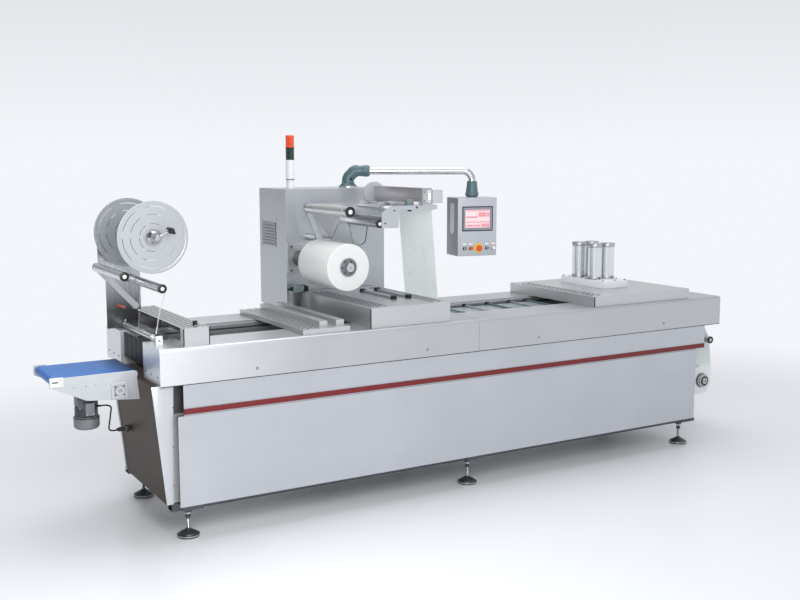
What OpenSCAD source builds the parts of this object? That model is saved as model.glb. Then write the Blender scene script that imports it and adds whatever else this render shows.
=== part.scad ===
// A thermoforming packaging machine. Lengths are in millimetres. Inside the modules x runs from the
// outfeed end to the infeed end, y from the operator's side to the rear, and z up from the floor.

/* [Rails] */
// Length of the two rails
rail_len = 3883; // [3878:1:3890]
// Height of the rail tops above the floor
rail_top = 1000; // [995:1:1005]
// Height of a rail
rail_h = 185; // [182:1:188]
// Width of a rail
rail_w = 271; // [268:1:276]
// Sheet thickness of the rails
rail_wall = 4; // [3:0.5:6]
// Radius of a rail's outer top edge
rail_round = 18; // [10:1:30]
// Clear width of the trough between the rails
trough_w = 400; // [398:1:404]

/* [Skirts] */
// Start of the upper skirts
upper_start = 117; // [110:1:125]
// End of the upper skirts
upper_end = 3750; // [3730:1:3770]
// Start of the lower skirts
lower_start = 84; // [80:1:90]
// End of the lower skirts and of the base frame
lower_end = 3671; // [3665:1:3680]
// Height of the lower skirts' bottom edge
lower_low = 187; // [182:1:192]
// Height of the joint between the upper and the lower skirts
skirt_joint = 655; // [640:1:670]
// Height of a red trim
trim_h = 28; // [24:1:34]
// Sheet thickness of skirts, panels and covers
sheet = 3; // [2:0.5:4]

/* [Base frame] */
// Distance from the middle plane to a row of feet
foot_y = 376; // [370:1:380]
// Height of the frame's underside
frame_low = 150; // [148:1:156]
// Width of a frame tube
tube_w = 60; // [50:1:64]
// Height of a lower frame tube
tube_h = 50; // [46:1:60]
// Diameter of a levelling foot's disc
foot_d = 116; // [100:1:130]
// Diameter of a foot's stem
stem_d = 16; // [12:1:20]

/* [Covers] */
// Distance from the middle plane to a cover's side
cover_y = 438; // [430:1:445]
// Height of the discharge cover
discharge_h = 90; // [80:1:100]
// Height of the cutting plate
cutting_h = 27; // [22:1:40]
// Height of the sealing cover
sealing_h = 112; // [105:1:120]
// Height of the forming cover
forming_h = 65; // [60:1:72]
// Diameter of an air cylinder on the forming cover
air_cyl_d = 100; // [80:1:106]
// Length of an air cylinder on the forming cover
air_cyl_h = 240; // [200:1:260]
// Diameter of a round hole in a cover
hole_d = 12; // [8:1:16]

/* [Tools] */
// Travel of the forming die and of the sealing die
die_travel = 85; // [60:1:86]
// Travel of the plug plate
plug_travel = 38; // [20:1:40]
// Travel of the cross knife
knife_travel = 38; // [20:1:42]
// Depth of a die's pockets
pocket_depth = 60; // [40:1:70]

/* [Conveyor] */
// Height of the belt's top face
belt_top = 855; // [850:1:858]
// Width of the belt
belt_w = 346; // [320:1:350]
// Thickness of the belt
belt_t = 2; // [1.5:0.1:2.5]
// Diameter of the gearmotor
motor_d = 130; // [115:1:140]

/* [Film] */
// Width of both films
film_w = 380; // [360:1:384]
// Diameter of the upper film roll
upper_roll_d = 268; // [200:1:272]
// Diameter of the lower film roll
lower_roll_d = 206; // [150:1:214]
// Diameter of the trim rewinder's discs
reel_d = 366; // [340:1:372]
// Thickness of the film webs
film_t = 0.8; // [0.6:0.1:1]

/* [Cabinet] */
// Width of the cabinet
cabinet_w = 689; // [680:1:700]
// Height of the cabinet's top above the floor
cabinet_top = 1736; // [1732:1:1740]
// Place of the cabinet's front
cabinet_front = 460; // [458:1:464]
// Depth of the cabinet
cabinet_depth = 397; // [380:1:420]
// Diameter of the signal tower
tower_d = 56; // [50:1:62]

/* [Operator panel] */
// Length of the swing arm
arm_len = 798; // [780:1:810]
// Diameter of the swing arm's tube
arm_d = 48; // [42:1:54]
// Width of the operator panel
hmi_w = 272; // [262:1:290]
// Height of the operator panel
hmi_h = 372; // [365:1:390]
// Depth of the operator panel
hmi_depth = 180; // [160:1:190]
// Diameter of the emergency stop's head
estop_d = 40; // [34:1:42]

/* [Hidden] */
$fn = 48;

// Clearances and the one overrun that serves all cuts
over = 1;
run_gap = 0.05;
soft_gap = 0.3;

// Root gap that the welder leaves between two frame tubes
weld_gap = 0.3;

// Width of a link's bar as a share of its round ends
waist_share = 0.86;

// Distance of a web's middle from the roller under it, and the straight pieces of its bends
film_seat = soft_gap + film_t / 2;
film_arc_steps = 12;

// Any direction that no cord runs along
aside = [0.13, 0.21, 0.97];

// Colours
steel = [0.76, 0.78, 0.80];
dull_steel = [0.62, 0.64, 0.66];
brown_steel = [0.56, 0.50, 0.46];
red = [0.66, 0.15, 0.18];
black = [0.10, 0.10, 0.11];
dark_grey = [0.25, 0.26, 0.28];
white = [0.93, 0.94, 0.95];
blue = [0.29, 0.53, 0.80];
teal_grey = [0.31, 0.42, 0.44];

// Rails and trough
rail_low = rail_top - rail_h;
trough_y = trough_w / 2;
outer_y = trough_y + rail_w;

// Base frame
frame_start = 60;
foot_x = [153, 1889, 3629];
frame_top = frame_low + tube_h;
tube_in = foot_y - tube_w / 2;
tube_out = foot_y + tube_w / 2;
tube_wall = 3;
boss_d = 40;
boss_h = 20;
bracket_len = 113;
bracket_low = 164;
bracket_t = 5;
skirt_y = outer_y - sheet;
face_screw_shares = [0.132, 0.398, 0.602, 0.867];
face_screw_z_share = 0.23;
end_screw_shares = [0.15, 0.5, 0.85];
hang_y = skirt_y - bracket_t;
nut_h = 12;
nut_d = 29;
head_d = 12;
pad_rim = 15;
pad_cone = 24;
cone_top_d = 30;

// Skirts and trims
flange_w = 38;
trim_short = 5;
upper_y = outer_y - 3 * sheet;
trim_shadow = 7;
trim_low = skirt_joint + trim_shadow;
trim_out = outer_y + sheet;
trim_round = 4;

// End panels
panel_top_x = -30;
panel_low_x = 30;
panel_low = 200;
panel_high = rail_low - sheet;
panel_front = 440;
panel_rear = 263;
strip_top = [-38, 73];
strip_low = [24, 58];
panel_flange = 73;
jamb_start = 50;
roll_x = 4030;
roll_z = 354;
infeed_x = 4070;
infeed_z = 646;
infeed_d = 50;
roll_plate_y = 215;
roll_plate_t = 12;
roll_plate_low = 250;
roll_plate_high = 720;
roll_plate_lip = 60;

// Chains and shafts
chain_in = 176;
chain_w = 10;
chain_t = 10;
chain_r = 65;
shaft_z = 905;
shaft_d = 30;
drive_x = 120;
idler_x = 3800;
slitter_x = 430;
guide_start = 80;
guide_end = 3845;
guide_t = 10;
guide_high = 985;
ledge_t = 12;
ledge_gap = 40;
slat_w = 30;
slat_z = [890, 930];
slat_count = 6;
knife_disc_r = 68;
knife_disc_t = 4;
knife_pitch = 90;

// Stations, given as start and end along the machine
discharge_x = [135, 271];
cutting_x = [790, 1070];
sealing_x = [1198, 1719];
forming_x = [2800, 3620];
sealing_tool = [1290, 1630];
forming_tool = [2960, 3460];
tool_y = 165;
film_z = 971;
die_clear = 1;
die_t = 85;
die_high = film_z - die_clear - die_travel;
die_low = die_high - die_t;
heater_low = 975;
ring_wall = 15;
plug_clear = 3;
plug_low = film_z + plug_clear + plug_travel;
plug_t = 12;
rod_d = 20;
rod_top = 1180;
piston_h = 20;
air_wall = 4;
air_mid = [3215, 60];
air_pitch = [110, 160];
block_x = [3110, 3320];
block_y = [-170, 270];
block_h = 50;
cap_h = 14;
screw_d = 8;
pocket_wall = 20;

// Die lifts
bar_w = 110;
lift_d = 90;
lift_wall = 5;
lift_cap = 10;
lift_top = 600;
lift_rod_d = 40;
lift_rod_low = 450;
column_d = 25;
column_y = 120;
column_top = 775;
sleeve_low = 620;
sleeve_d = 40;
knife_x = 930;
knife_bar_w = 50;
knife_bar_z = [830, 860];
blade_clear = 8;
blade_top = film_z - blade_clear - knife_travel;
blade_t = 6;
knife_y = 100;
knife_rod_d = 16;
knife_lift_low = 640;
knife_lift_d = 40;
knife_beam_h = 30;
knife_beam_low = rail_low - knife_beam_h;

// Cover details
bar_a = [905, 953];
bar_b = [1005, 1053];
bar_rise = 33;
bar_end = 40;
grip_w = 26;
grip_rise = 14;
grip_a = 1490;
grip_b = 1590;
grip_span = [-150, 190];
clip_len = 34;
clip_rise = 20;
slot_len = 34;
slot_w = 6;
slot_pitch = [44, 24];
cutting_holes = [4, 20];
discharge_holes = [6, 22];
actuator_x = [1100, 1185];
actuator_y = [350, 400];
actuator_h = 135;
knob_d = 24;
knob_h = 22;
knob_place = [227, -352];

// Conveyor
side_in = 180;
side_t = 5;
tail_x = -437;
tail_r = 20;
head_x = -45;
drive_at = [-124, 761];
drive_r = 40;
tail_block_x = [-465, -402];
tail_block_low = 809;
tail_block_high = 858;
belt_proud = 4;
side_high = belt_top - belt_proud;
side_knee = [-287, 725];
side_foot = 703;
axle_d = 12;
drive_axle_d = 20;
bearing_w = 82;
bearing_t = 10;
bearing_ring_d = 46;
bearing_screw_share = 0.72;
motor_x = -262;
motor_y = -60;
motor_low = 555;
fan_top = 619;
motor_top = 668;
motor_neck_share = 0.9;
gear_w = 100;
terminal_out = 21;
terminal_w = 44;
terminal_low = 636;
terminal_high = 700;
gland_d = 16;
cable_d = 8;
cable_gland_y = 96;
cable_gland_z = 483;
plug_d = 24;
cable_points = [
    [-226, -132, 680], [-204, -132, 680], [-182, -131, 679], [-163, -124, 673], [-149, -111, 661],
    [-144, -96, 647], [-141, -79, 633], [-139, -63, 618], [-136, -47, 604], [-133, -31, 589],
    [-130, -15, 575], [-128, 2, 560], [-125, 18, 546], [-122, 34, 531], [-120, 50, 517],
    [-116, 66, 503], [-106, 81, 490], [-89, 92, 482], [-68, 96, 481], [-46, 96, 483]
];

// Rewinder
plate_y = 300;
plate_t = 6;
plate_left = -40;
plate_ear = -79;
plate_steps = [1274, 1340, 1490, 1600];
plate_foot_right = 130;
plate_foot_top = 1096;
plate_right = 150;
reel_x = 67;
reel_z = 1531;
disc_y = 214;
disc_t = 4;
core_d = 80;
reel_shaft_d = 30;
reel_bearing_h = 30;
roller_gap = 9;
reel_front = -262;
hub_d = 70;
lever_to = [138, 1567];
lever_d = 16;
lever_ball = 24;
lever_gap = 4;
arc_rings = [70, 117, 157];
arc_w = 5;
arc_sweep = 44;
arc_count = 6;
arc_steps = 6;
arm_pivot = [115, 1120];
arm_tip = [-91, 1343];
arm_plate_y = 288;
arm_plate_t = 6;
arm_w = 40;
pivot_d = 20;
roller_d = 46;
roller_front = -240;
roller_shaft_d = 12;
scrap_at = [100, 1270];
low_roller_at = [53, 1018];
low_roller_d = 34;
low_bracket_y = [-310, -290];
low_bracket_h = 40;

// Cabinet
cabinet_x = 1111;
cabinet_end = cabinet_x + cabinet_w;
cabinet_rear = cabinet_front + cabinet_depth;
louvre_y = [611, 814];
louvre_z = [1381, 1534];
louvre_count = 8;
louvre_h = 8;
back_plate_gap = 15;
device_d = 90;
device_columns = 4;
device_rows = 3;
device_share = 0.8;
prop_w = 40;
prop_h = 160;
hinge_r = 7;
pin_d = 6;
knuckle_h = 60;
knuckle_z = [1080, 1600];
handle_z = 1360;
handle_d = 26;
handle_h = 14;
tower_at = [1232, 650];
tower_steps = [46, 131, 73, 80];

// Upper film
upper_at = [1194, 1315];
upper_core_d = 110;
upper_shaft_d = 50;
brake_y = 200;
brake_t = 16;
brake_d = 150;
flange_x = [1116, 1272];
flange_z = [1226, 1423];
flange_t = 12;
flange_bolt = [56, 74];
flange_tube_d = 96;
flange_tube_y = 250;
chuck_reach = 26;
chuck_deep = 12;
lower_chuck_d = 92;
lower_chuck_reach = 40;
dancer_at = [1183, 1629];
dancer_d = 58;
dancer_pivot = [1260, 1445];
dancer_back = 300;
dancer_arm_y = 306;
dancer_arm_t = 12;
dancer_arm_w = 36;
dancer_pin_d = 20;
dancer_boss_d = 40;
dancer_boss_y = 330;
guide_at = [1371, 1557];
guide_d = 46;
guide_back = 219;
side_plate_y = -249;
side_plate_t = 8;
back_side_y = 222;
side_points = [[1378, 1534], [1378, 1619], [1437, 1655], [1489, 1655], [1489, 1530]];
cross_w = 40;
cross_a = [1410, 1600];
cross_b = [1445, 1545];
rail_arm_z = [1632, 1657];
rail_arm_end = 1748;
beam_x = [1640, 1705];
beam_y = [-260, 300];
beam_low = 1665;
beam_high = 1750;
beam_post_x = [1650, 1695];
beam_cap_t = 5;
box_x = [1705.3, 1781];
box_y = [-260, -200];
box_z = [1667, 1743];
disc_white_d = 150;
disc_white_t = 10;
turn_at_x = 1730;
turn_r = 15;
lower_turn_at = [1790, 1003];
lower_turn_end = 1650;
lower_turn_block = [20, 25];
lower_turn_r = 12;

// Operator panel
arm_base = [1620, 610];
arm_turn = -29.9;
arm_z = 1842;
base_ring_d = 122;
base_ring_h = 12;
spigot_d = 40;
column_arm_d = 84;
socket_d = 72;
socket_len = 140;
coupling_z = 1778;
hmi_top = 1674;
coupling_d = 86;
coupling_top_d = 66;
coupling_neck_d = 56;
hmi_turn = -10;
hmi_axis = [arm_base[0] + arm_len * cos(arm_turn), arm_base[1] + arm_len * sin(arm_turn)];
hmi_low = hmi_top - hmi_h;
screen_w = 214;
screen_h = 158;
screen_mid_z = 1540;
screen_t = 4;
button_z = 1352;
button_face_t = 3;
button_travel_room = 8;
ring_d = 60;
small_button_d = 24;
button_shares = [-0.33, -0.17, 0.03, 0.24, 0.41];
button_stem_d = 12;
button_deep = 24;
oval_w = 60;
oval_rise = 4;

// Air hose
hose_d = 6;
hose_fitting_d = 18;
hose_points = [
    [1372, 444, 1438], [1372, 419, 1438], [1372, 394, 1438], [1372, 370, 1439], [1375, 348, 1449],
    [1379, 336, 1470], [1385, 329, 1494], [1393, 323, 1516], [1411, 319, 1531], [1436, 318, 1534],
    [1459, 318, 1527], [1474, 318, 1508], [1479, 318, 1484], [1484, 317, 1459], [1488, 317, 1435],
    [1495, 317, 1411], [1513, 316, 1395], [1538, 315, 1391], [1562, 314, 1396], [1579, 312, 1413],
    [1584, 310, 1437], [1586, 308, 1462], [1589, 305, 1486], [1591, 303, 1511], [1593, 301, 1536],
    [1597, 298, 1560], [1609, 294, 1581], [1631, 289, 1590], [1654, 284, 1597], [1669, 281, 1616],
    [1672, 280, 1640], [1672, 280, 1665]
];

// The box of the whole machine, used to put the origin under its middle
x_low = tail_block_x[0];
x_high = roll_x + lower_roll_d / 2;
y_low = -trim_out;
y_high = cabinet_rear + soft_gap + sheet + handle_h;
middle = [-(x_low + x_high) / 2, -(y_low + y_high) / 2, 0];

// Shared shapes

module place() {
    translate(middle) children();
}

module block(low, high) {
    translate(low) cube(high - low);
}

module rod_x(y, z, from, to, d) {
    translate([from, y, z]) rotate([0, 90, 0]) cylinder(d = d, h = to - from);
}

module rod_y(at, from, to, d) {
    translate([at[0], from, at[1]]) rotate([-90, 0, 0]) cylinder(d = d, h = to - from);
}

module rod_z(at, from, to, d) {
    translate([at[0], at[1], from]) cylinder(d = d, h = to - from);
}

module pipe_y(at, from, to, d, bore) {
    difference() {
        rod_y(at, from, to, d);
        rod_y(at, from - over, to + over, bore);
    }
}

module pipe_z(at, from, to, d, bore) {
    difference() {
        rod_z(at, from, to, d);
        rod_z(at, from - over, to + over, bore);
    }
}

// An outline in x and z, given its thickness along y
module plate_y(points, from, to) {
    translate([0, to, 0]) rotate([90, 0, 0]) linear_extrude(to - from) polygon(points);
}

module both_sides() {
    children();
    mirror([0, 1, 0]) children();
}

// A bar in x and z between two round ends that are a little wider than it
module link_y(a, b, w, from, to) {
    reach = b - a;
    translate([a[0], from, a[1]]) rotate([0, -atan2(reach[1], reach[0]), 0]) {
        translate([0, 0, -w * waist_share / 2]) cube([norm(reach), to - from, w * waist_share]);
        rod_y([0, 0], 0, to - from, w);
        rod_y([norm(reach), 0], 0, to - from, w);
    }
}

// A tube along a list of points: rings of eight points joined by triangles
function unit(v) = v / norm(v);
function step_at(p, i) = unit(p[min(i + 1, len(p) - 1)] - p[max(i - 1, 0)]);
function side_at(p, i) = unit(cross(step_at(p, i), aside));
function ring_at(p, i, r, n) = [
    for (k = [0:n - 1]) p[i] + r * cos(k * 360 / n) * side_at(p, i)
        + r * sin(k * 360 / n) * cross(side_at(p, i), step_at(p, i))
];
function curve(p, u) = let (
    i = min(floor(u), len(p) - 2), t = u - i,
    a = p[max(i - 1, 0)], b = p[i], c = p[i + 1], d = p[min(i + 2, len(p) - 1)]
) b + t * (c - a) / 2 + t * t * (a - 5 * b / 2 + 2 * c - d / 2) + t * t * t * (3 * b - 3 * c + d - a) / 2;

module cord(p, d, per_span) {
    sides = 8;
    last = (len(p) - 1) * per_span;
    path = [for (s = [0:last]) curve(p, s / per_span)];
    points = [for (i = [0:last]) each ring_at(path, i, d / 2, sides)];
    walls = [
        for (i = [0:last - 1], k = [0:sides - 1]) each [
            [i * sides + k, (i + 1) * sides + k, i * sides + (k + 1) % sides],
            [(i + 1) * sides + k, (i + 1) * sides + (k + 1) % sides, i * sides + (k + 1) % sides]
        ]
    ];
    first_cap = [for (k = [0:sides - 1]) k];
    last_cap = [for (k = [0:sides - 1]) last * sides + sides - 1 - k];
    polyhedron(points, concat(walls, [first_cap, last_cap]));
}

// Base frame

module side_tube(side) {
    difference() {
        block([frame_start, side * foot_y - tube_w / 2, frame_low],
              [lower_end, side * foot_y + tube_w / 2, frame_top]);
        block([frame_start - over, side * foot_y - tube_w / 2 + tube_wall, frame_low + tube_wall],
              [lower_end + over, side * foot_y + tube_w / 2 - tube_wall, frame_top - tube_wall]);
    }
}

module frame_post(x, side) {
    y = side * foot_y;
    half = tube_w / 2;
    inner = half - tube_wall;
    difference() {
        block([x - half, y - half, frame_top + weld_gap], [x + half, y + half, rail_low]);
        block([x - inner, y - inner, frame_top - over], [x + inner, y + inner, rail_low + over]);
    }
}

module cross_tube(x, w) {
    difference() {
        block([x - w / 2, -tube_in + weld_gap, frame_low], [x + w / 2, tube_in - weld_gap, frame_top]);
        block([x - w / 2 + tube_wall, -tube_in - over, frame_low + tube_wall],
              [x + w / 2 - tube_wall, tube_in + over, frame_top - tube_wall]);
    }
}

module skirt_bracket(x) {
    from = x - bracket_len / 2;
    block([from, -hang_y, bracket_low], [from + bracket_len, -hang_y + bracket_t, lower_low]);
    block([from, -hang_y, lower_low - bracket_t], [from + bracket_len, -tube_out - weld_gap, lower_low]);
}

module base_frame() color(dull_steel) {
    for (side = [-1, 1]) {
        side_tube(side);
        for (x = foot_x) {
            frame_post(x, side);
            pipe_z([x, side * foot_y], frame_low - boss_h, frame_low - weld_gap,
                boss_d, stem_d + 2 * run_gap);
        }
    }
    for (x = foot_x) cross_tube(x, tube_w);
    for (tool = [sealing_tool, forming_tool]) cross_tube((tool[0] + tool[1]) / 2, bar_w);
    both_sides() for (x = foot_x) skirt_bracket(x);
}

module levelling_foot(x, y) {
    nut_high = frame_low - boss_h;
    translate([x, y, 0]) {
        cylinder(d = foot_d, h = pad_rim);
        translate([0, 0, pad_rim]) cylinder(d1 = foot_d, d2 = cone_top_d, h = pad_cone);
        cylinder(d = stem_d, h = frame_low);
        translate([0, 0, nut_high - nut_h]) cylinder(d = nut_d, h = nut_h, $fn = 6);
    }
}

module levelling_feet() color(dark_grey) {
    for (x = foot_x, side = [-1, 1]) levelling_foot(x, side * foot_y);
}

// Rails

module rail_outline(inset) {
    left = -outer_y + inset;
    high = rail_top - inset;
    r = rail_round - inset;
    low = rail_low + inset;
    translate([left + r, low]) square([rail_w - 2 * inset - r, high - low]);
    translate([left, low]) square([r, high - low - r]);
    translate([left + r, high - r]) circle(r = r);
}

module rail_bar(from, to, inset) {
    translate([from, 0, 0]) rotate([90, 0, 90]) linear_extrude(to - from) rail_outline(inset);
}

module one_rail() {
    difference() {
        rail_bar(sheet, rail_len - sheet, 0);
        rail_bar(0, rail_len, rail_wall);
    }
    rail_bar(0, sheet, 0);
    rail_bar(rail_len - sheet, rail_len, 0);
}

module front_rail() color(steel) one_rail();

module rear_rail() color(steel) mirror([0, 1, 0]) one_rail();

// Skirts, trims and end panels

module upper_skirts() color(steel) both_sides() {
    block([upper_start, -upper_y - sheet, skirt_joint], [upper_end, -upper_y, rail_low]);
    block([upper_start, -upper_y, rail_low - sheet], [upper_end, -upper_y + flange_w, rail_low]);
}

module lower_skirts() color(steel) both_sides() {
    block([lower_start, -outer_y, lower_low], [lower_end, -skirt_y, skirt_joint]);
    block([lower_start, -skirt_y, skirt_joint - sheet], [lower_end, -skirt_y + flange_w, skirt_joint]);
    block([lower_start, -skirt_y, lower_low], [lower_end, -tube_out, lower_low + sheet]);
}

module trim_outline() {
    deep = trim_out - upper_y - sheet;
    square([deep - trim_round, trim_h]);
    translate([0, trim_round]) square([deep, trim_h - 2 * trim_round]);
    for (z = [trim_round, trim_h - trim_round]) translate([deep - trim_round, z]) circle(r = trim_round);
}

module red_trims() color(red) both_sides() {
    translate([upper_start, -upper_y - sheet, trim_low]) rotate([90, 0, 90]) mirror([1, 0, 0])
        linear_extrude(upper_end - trim_short - upper_start) trim_outline();
}

// Place along x of the outfeed panel's outer face at a height
function panel_x(z) = panel_low_x + (z - panel_low) * (panel_top_x - panel_low_x) / (panel_high - panel_low);

module outfeed_panel() {
    plate_y([[panel_x(panel_low), panel_low], [panel_x(panel_low) + sheet, panel_low],
        [panel_x(panel_high) + sheet, panel_high], [panel_x(panel_high), panel_high]],
        -panel_front, panel_rear);
    block([panel_top_x, -panel_front, panel_high], [panel_flange, panel_rear, rail_low]);
    block([panel_low_x + sheet, -panel_front, panel_low - sheet], [frame_start, panel_rear, panel_low]);
    block([panel_low_x, -panel_front, panel_low - sheet], [panel_low_x + sheet, panel_rear, panel_low]);
    for (y = [-panel_front - sheet, panel_rear])
        plate_y([[strip_top[0], rail_low], [strip_low[0], panel_low + sheet],
            [strip_low[1], panel_low + sheet], [strip_top[1], rail_low]], y, y + sheet);
    block([jamb_start, -tube_out - weld_gap - sheet, panel_low],
          [foot_x[0], -tube_out - weld_gap, panel_high]);
}

module infeed_panel() {
    flange_y = upper_y - flange_w - soft_gap;
    block([lower_end, -panel_front, lower_low], [lower_end + sheet, panel_front, panel_high]);
    block([lower_end, -tube_out, frame_low], [lower_end + sheet, tube_out, lower_low]);
    block([lower_end, -flange_y, panel_high], [lower_end + flange_w, flange_y, rail_low]);
}

module roll_bracket() {
    start = lower_end + sheet;
    difference() {
        plate_y([[start, roll_plate_low], [start, roll_plate_high],
            [infeed_x + roll_plate_lip / 2, roll_plate_high], [infeed_x + roll_plate_lip / 2, infeed_z],
            [roll_x + roll_plate_lip, roll_z], [roll_x + roll_plate_lip / 2, roll_plate_low]],
            roll_plate_y, roll_plate_y + roll_plate_t);
        rod_y([roll_x, roll_z], 0, 2 * roll_plate_y, shaft_d + 2 * run_gap);
        rod_y([infeed_x, infeed_z], 0, 2 * roll_plate_y, drive_axle_d + 2 * run_gap);
    }
}

module cable_gland() {
    rod_x(cable_gland_y, cable_gland_z, cable_points[len(cable_points) - 1][0],
        panel_x(cable_gland_z + plug_d / 2) - soft_gap, plug_d);
}

module end_panels() {
    color(brown_steel) outfeed_panel();
    color(steel) infeed_panel();
    color(steel) roll_bracket();
    color(black) cable_gland();
}

module panel_screws() color(dull_steel) {
    for (share = face_screw_shares) both_sides()
        rod_y([share * rail_len, rail_low + face_screw_z_share * rail_h], -trim_out, -outer_y, head_d);
    both_sides() for (share = end_screw_shares)
        rod_x(-trough_y - share * rail_w, rail_low + face_screw_z_share * rail_h, -sheet, 0, screw_d);
}

// Chains and the shafts that turn them

// Underside of a chain run: 1 is the upper run, minus 1 the lower
function chain_under(run) = shaft_z + (run > 0 ? chain_r - chain_t : -chain_r);

module guide_plate() {
    difference() {
        block([guide_start, trough_y - guide_t, rail_low], [guide_end, trough_y, guide_high]);
        for (x = [drive_x, slitter_x, idler_x])
            rod_y([x, shaft_z], chain_in, trough_y + over, shaft_d + 2 * run_gap);
    }
    for (run = [1, -1])
        block([drive_x + chain_r + ledge_gap, chain_in, chain_under(run) - soft_gap - ledge_t],
              [idler_x - chain_r - ledge_gap, trough_y - guide_t, chain_under(run) - soft_gap]);
}

module loading_slats() {
    span = forming_x[0] - sealing_x[1];
    for (i = [1:slat_count])
        block([sealing_x[1] + i * span / (slat_count + 1) - slat_w / 2, -trough_y + guide_t, slat_z[0]],
              [sealing_x[1] + i * span / (slat_count + 1) + slat_w / 2, trough_y - guide_t, slat_z[1]]);
}

module chain_guides() color(dull_steel) {
    both_sides() guide_plate();
    loading_slats();
}

module chain_loop(y) {
    translate([0, y + chain_w, 0]) rotate([90, 0, 0]) linear_extrude(chain_w) difference() {
        union() {
            for (x = [drive_x, idler_x]) translate([x, shaft_z]) circle(r = chain_r);
            translate([drive_x, shaft_z - chain_r]) square([idler_x - drive_x, 2 * chain_r]);
        }
        for (x = [drive_x, idler_x]) translate([x, shaft_z]) circle(r = chain_r - chain_t);
        translate([drive_x, shaft_z - chain_r + chain_t])
            square([idler_x - drive_x, 2 * (chain_r - chain_t)]);
    }
}

module transport_chains() color(dark_grey) both_sides() chain_loop(chain_in);

module sprocket_shaft(x) {
    both_sides() rod_y([x, shaft_z], chain_in, chain_in + chain_w, 2 * (chain_r - chain_t - soft_gap));
    rod_y([x, shaft_z], -trough_y + soft_gap, trough_y - soft_gap, shaft_d);
}

module drive_shaft() color(dull_steel) sprocket_shaft(drive_x);

module idler_shaft() color(dull_steel) sprocket_shaft(idler_x);

module slitter_shaft() color(steel) {
    rod_y([slitter_x, shaft_z], -trough_y + soft_gap, trough_y - soft_gap, shaft_d);
    for (i = [-1:1])
        translate([0, i * knife_pitch, 0])
            rod_y([slitter_x, shaft_z], -knife_disc_t / 2, knife_disc_t / 2, 2 * knife_disc_r);
}

// Covers

module cover_shell(x, h) {
    difference() {
        block([x[0], -cover_y, rail_top], [x[1], cover_y, rail_top + h]);
        block([x[0] + sheet, -cover_y + sheet, rail_top - over],
              [x[1] - sheet, cover_y - sheet, rail_top + h - sheet]);
    }
}

module slot_band(from, columns, h, y_reach) {
    rows = floor(2 * y_reach / slot_pitch[0]);
    for (i = [0:columns - 1], j = [0:rows - 1])
        translate([from + i * slot_pitch[1], -y_reach + (j + i % 2 / 2) * slot_pitch[0],
                   rail_top + h - sheet - over])
            cube([slot_w, slot_len, sheet + 2 * over]);
}

module hole_grid(x, holes, h) {
    step_x = (x[1] - x[0]) / (holes[0] + 1);
    step_y = 2 * cover_y / (holes[1] + 1);
    for (i = [1:holes[0]], j = [1:holes[1] - i % 2])
        rod_z([x[0] + i * step_x, -cover_y + (j + i % 2 / 2) * step_y], rail_top + h - sheet - over,
            rail_top + h + over, hole_d);
}

module forming_cover() color(steel) difference() {
    cover_shell(forming_x, forming_h);
    slot_band(forming_x[0] + slot_pitch[1], 4, forming_h, cover_y - slot_pitch[0]);
    for (i = [-1, 1], j = [-1, 1])
        rod_z([air_mid[0] + i * air_pitch[0] / 2, air_mid[1] + j * air_pitch[1] / 2],
            rail_top, rail_top + forming_h + over, rod_d + 2 * sheet);
}

module sealing_cover() color(steel) difference() {
    cover_shell(sealing_x, sealing_h);
    slot_band(sealing_x[0] + slot_pitch[1], 5, sealing_h, cover_y - slot_pitch[0]);
    slot_band(sealing_x[1] - 4 * slot_pitch[1], 4, sealing_h, cover_y - slot_pitch[0]);
}

module cutting_plate() {
    color(steel) difference() {
        cover_shell(cutting_x, cutting_h);
        hole_grid([cutting_x[0], bar_a[0]], cutting_holes, cutting_h);
    }
    color(dull_steel) for (bar = [bar_a, bar_b])
        block([bar[0], -cover_y + bar_end, rail_top + cutting_h],
              [bar[1], cover_y - bar_end, rail_top + cutting_h + bar_rise]);
}

module discharge_cover() {
    color(steel) difference() {
        cover_shell(discharge_x, discharge_h);
        hole_grid(discharge_x, discharge_holes, discharge_h);
        block([discharge_x[0] - over, -cover_y + 2 * knob_d, rail_top + knob_h],
              [discharge_x[0] + sheet + over, cover_y - 2 * knob_d, rail_top + discharge_h - sheet]);
    }
    color(black) rod_z(knob_place, rail_top + discharge_h, rail_top + discharge_h + knob_h, knob_d);
}

module cover_fittings() {
    top = rail_top + sealing_h;
    for (x = [grip_a, grip_b]) {
        color(dull_steel) block([x, grip_span[0], top], [x + grip_w, grip_span[1], top + grip_rise]);
        color(black) for (y = [grip_span[0] - clip_len, grip_span[1]])
            block([x, y, top], [x + grip_w, y + clip_len, top + clip_rise]);
    }
    color(teal_grey) block([actuator_x[0], actuator_y[0], rail_top],
        [actuator_x[1], actuator_y[1], rail_top + actuator_h]);
}

module at_air_cylinders() {
    for (i = [-1, 1], j = [-1, 1])
        translate([air_mid[0] + i * air_pitch[0] / 2, air_mid[1] + j * air_pitch[1] / 2, 0]) children();
}

module cylinder_block() color(white) difference() {
    block([block_x[0], block_y[0], rail_top + forming_h],
          [block_x[1], block_y[1], rail_top + forming_h + block_h]);
    at_air_cylinders() translate([0, 0, rail_top]) cylinder(d = rod_d + 2 * run_gap, h = rail_h);
}

module forming_cylinders() color(white) at_air_cylinders() {
    low = rail_top + forming_h + block_h;
    pipe_z([0, 0], low, low + air_cyl_h - cap_h, air_cyl_d, air_cyl_d - 2 * air_wall);
    rod_z([0, 0], low + air_cyl_h - cap_h, low + air_cyl_h, air_cyl_d);
}

// Tools inside the stations

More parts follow.
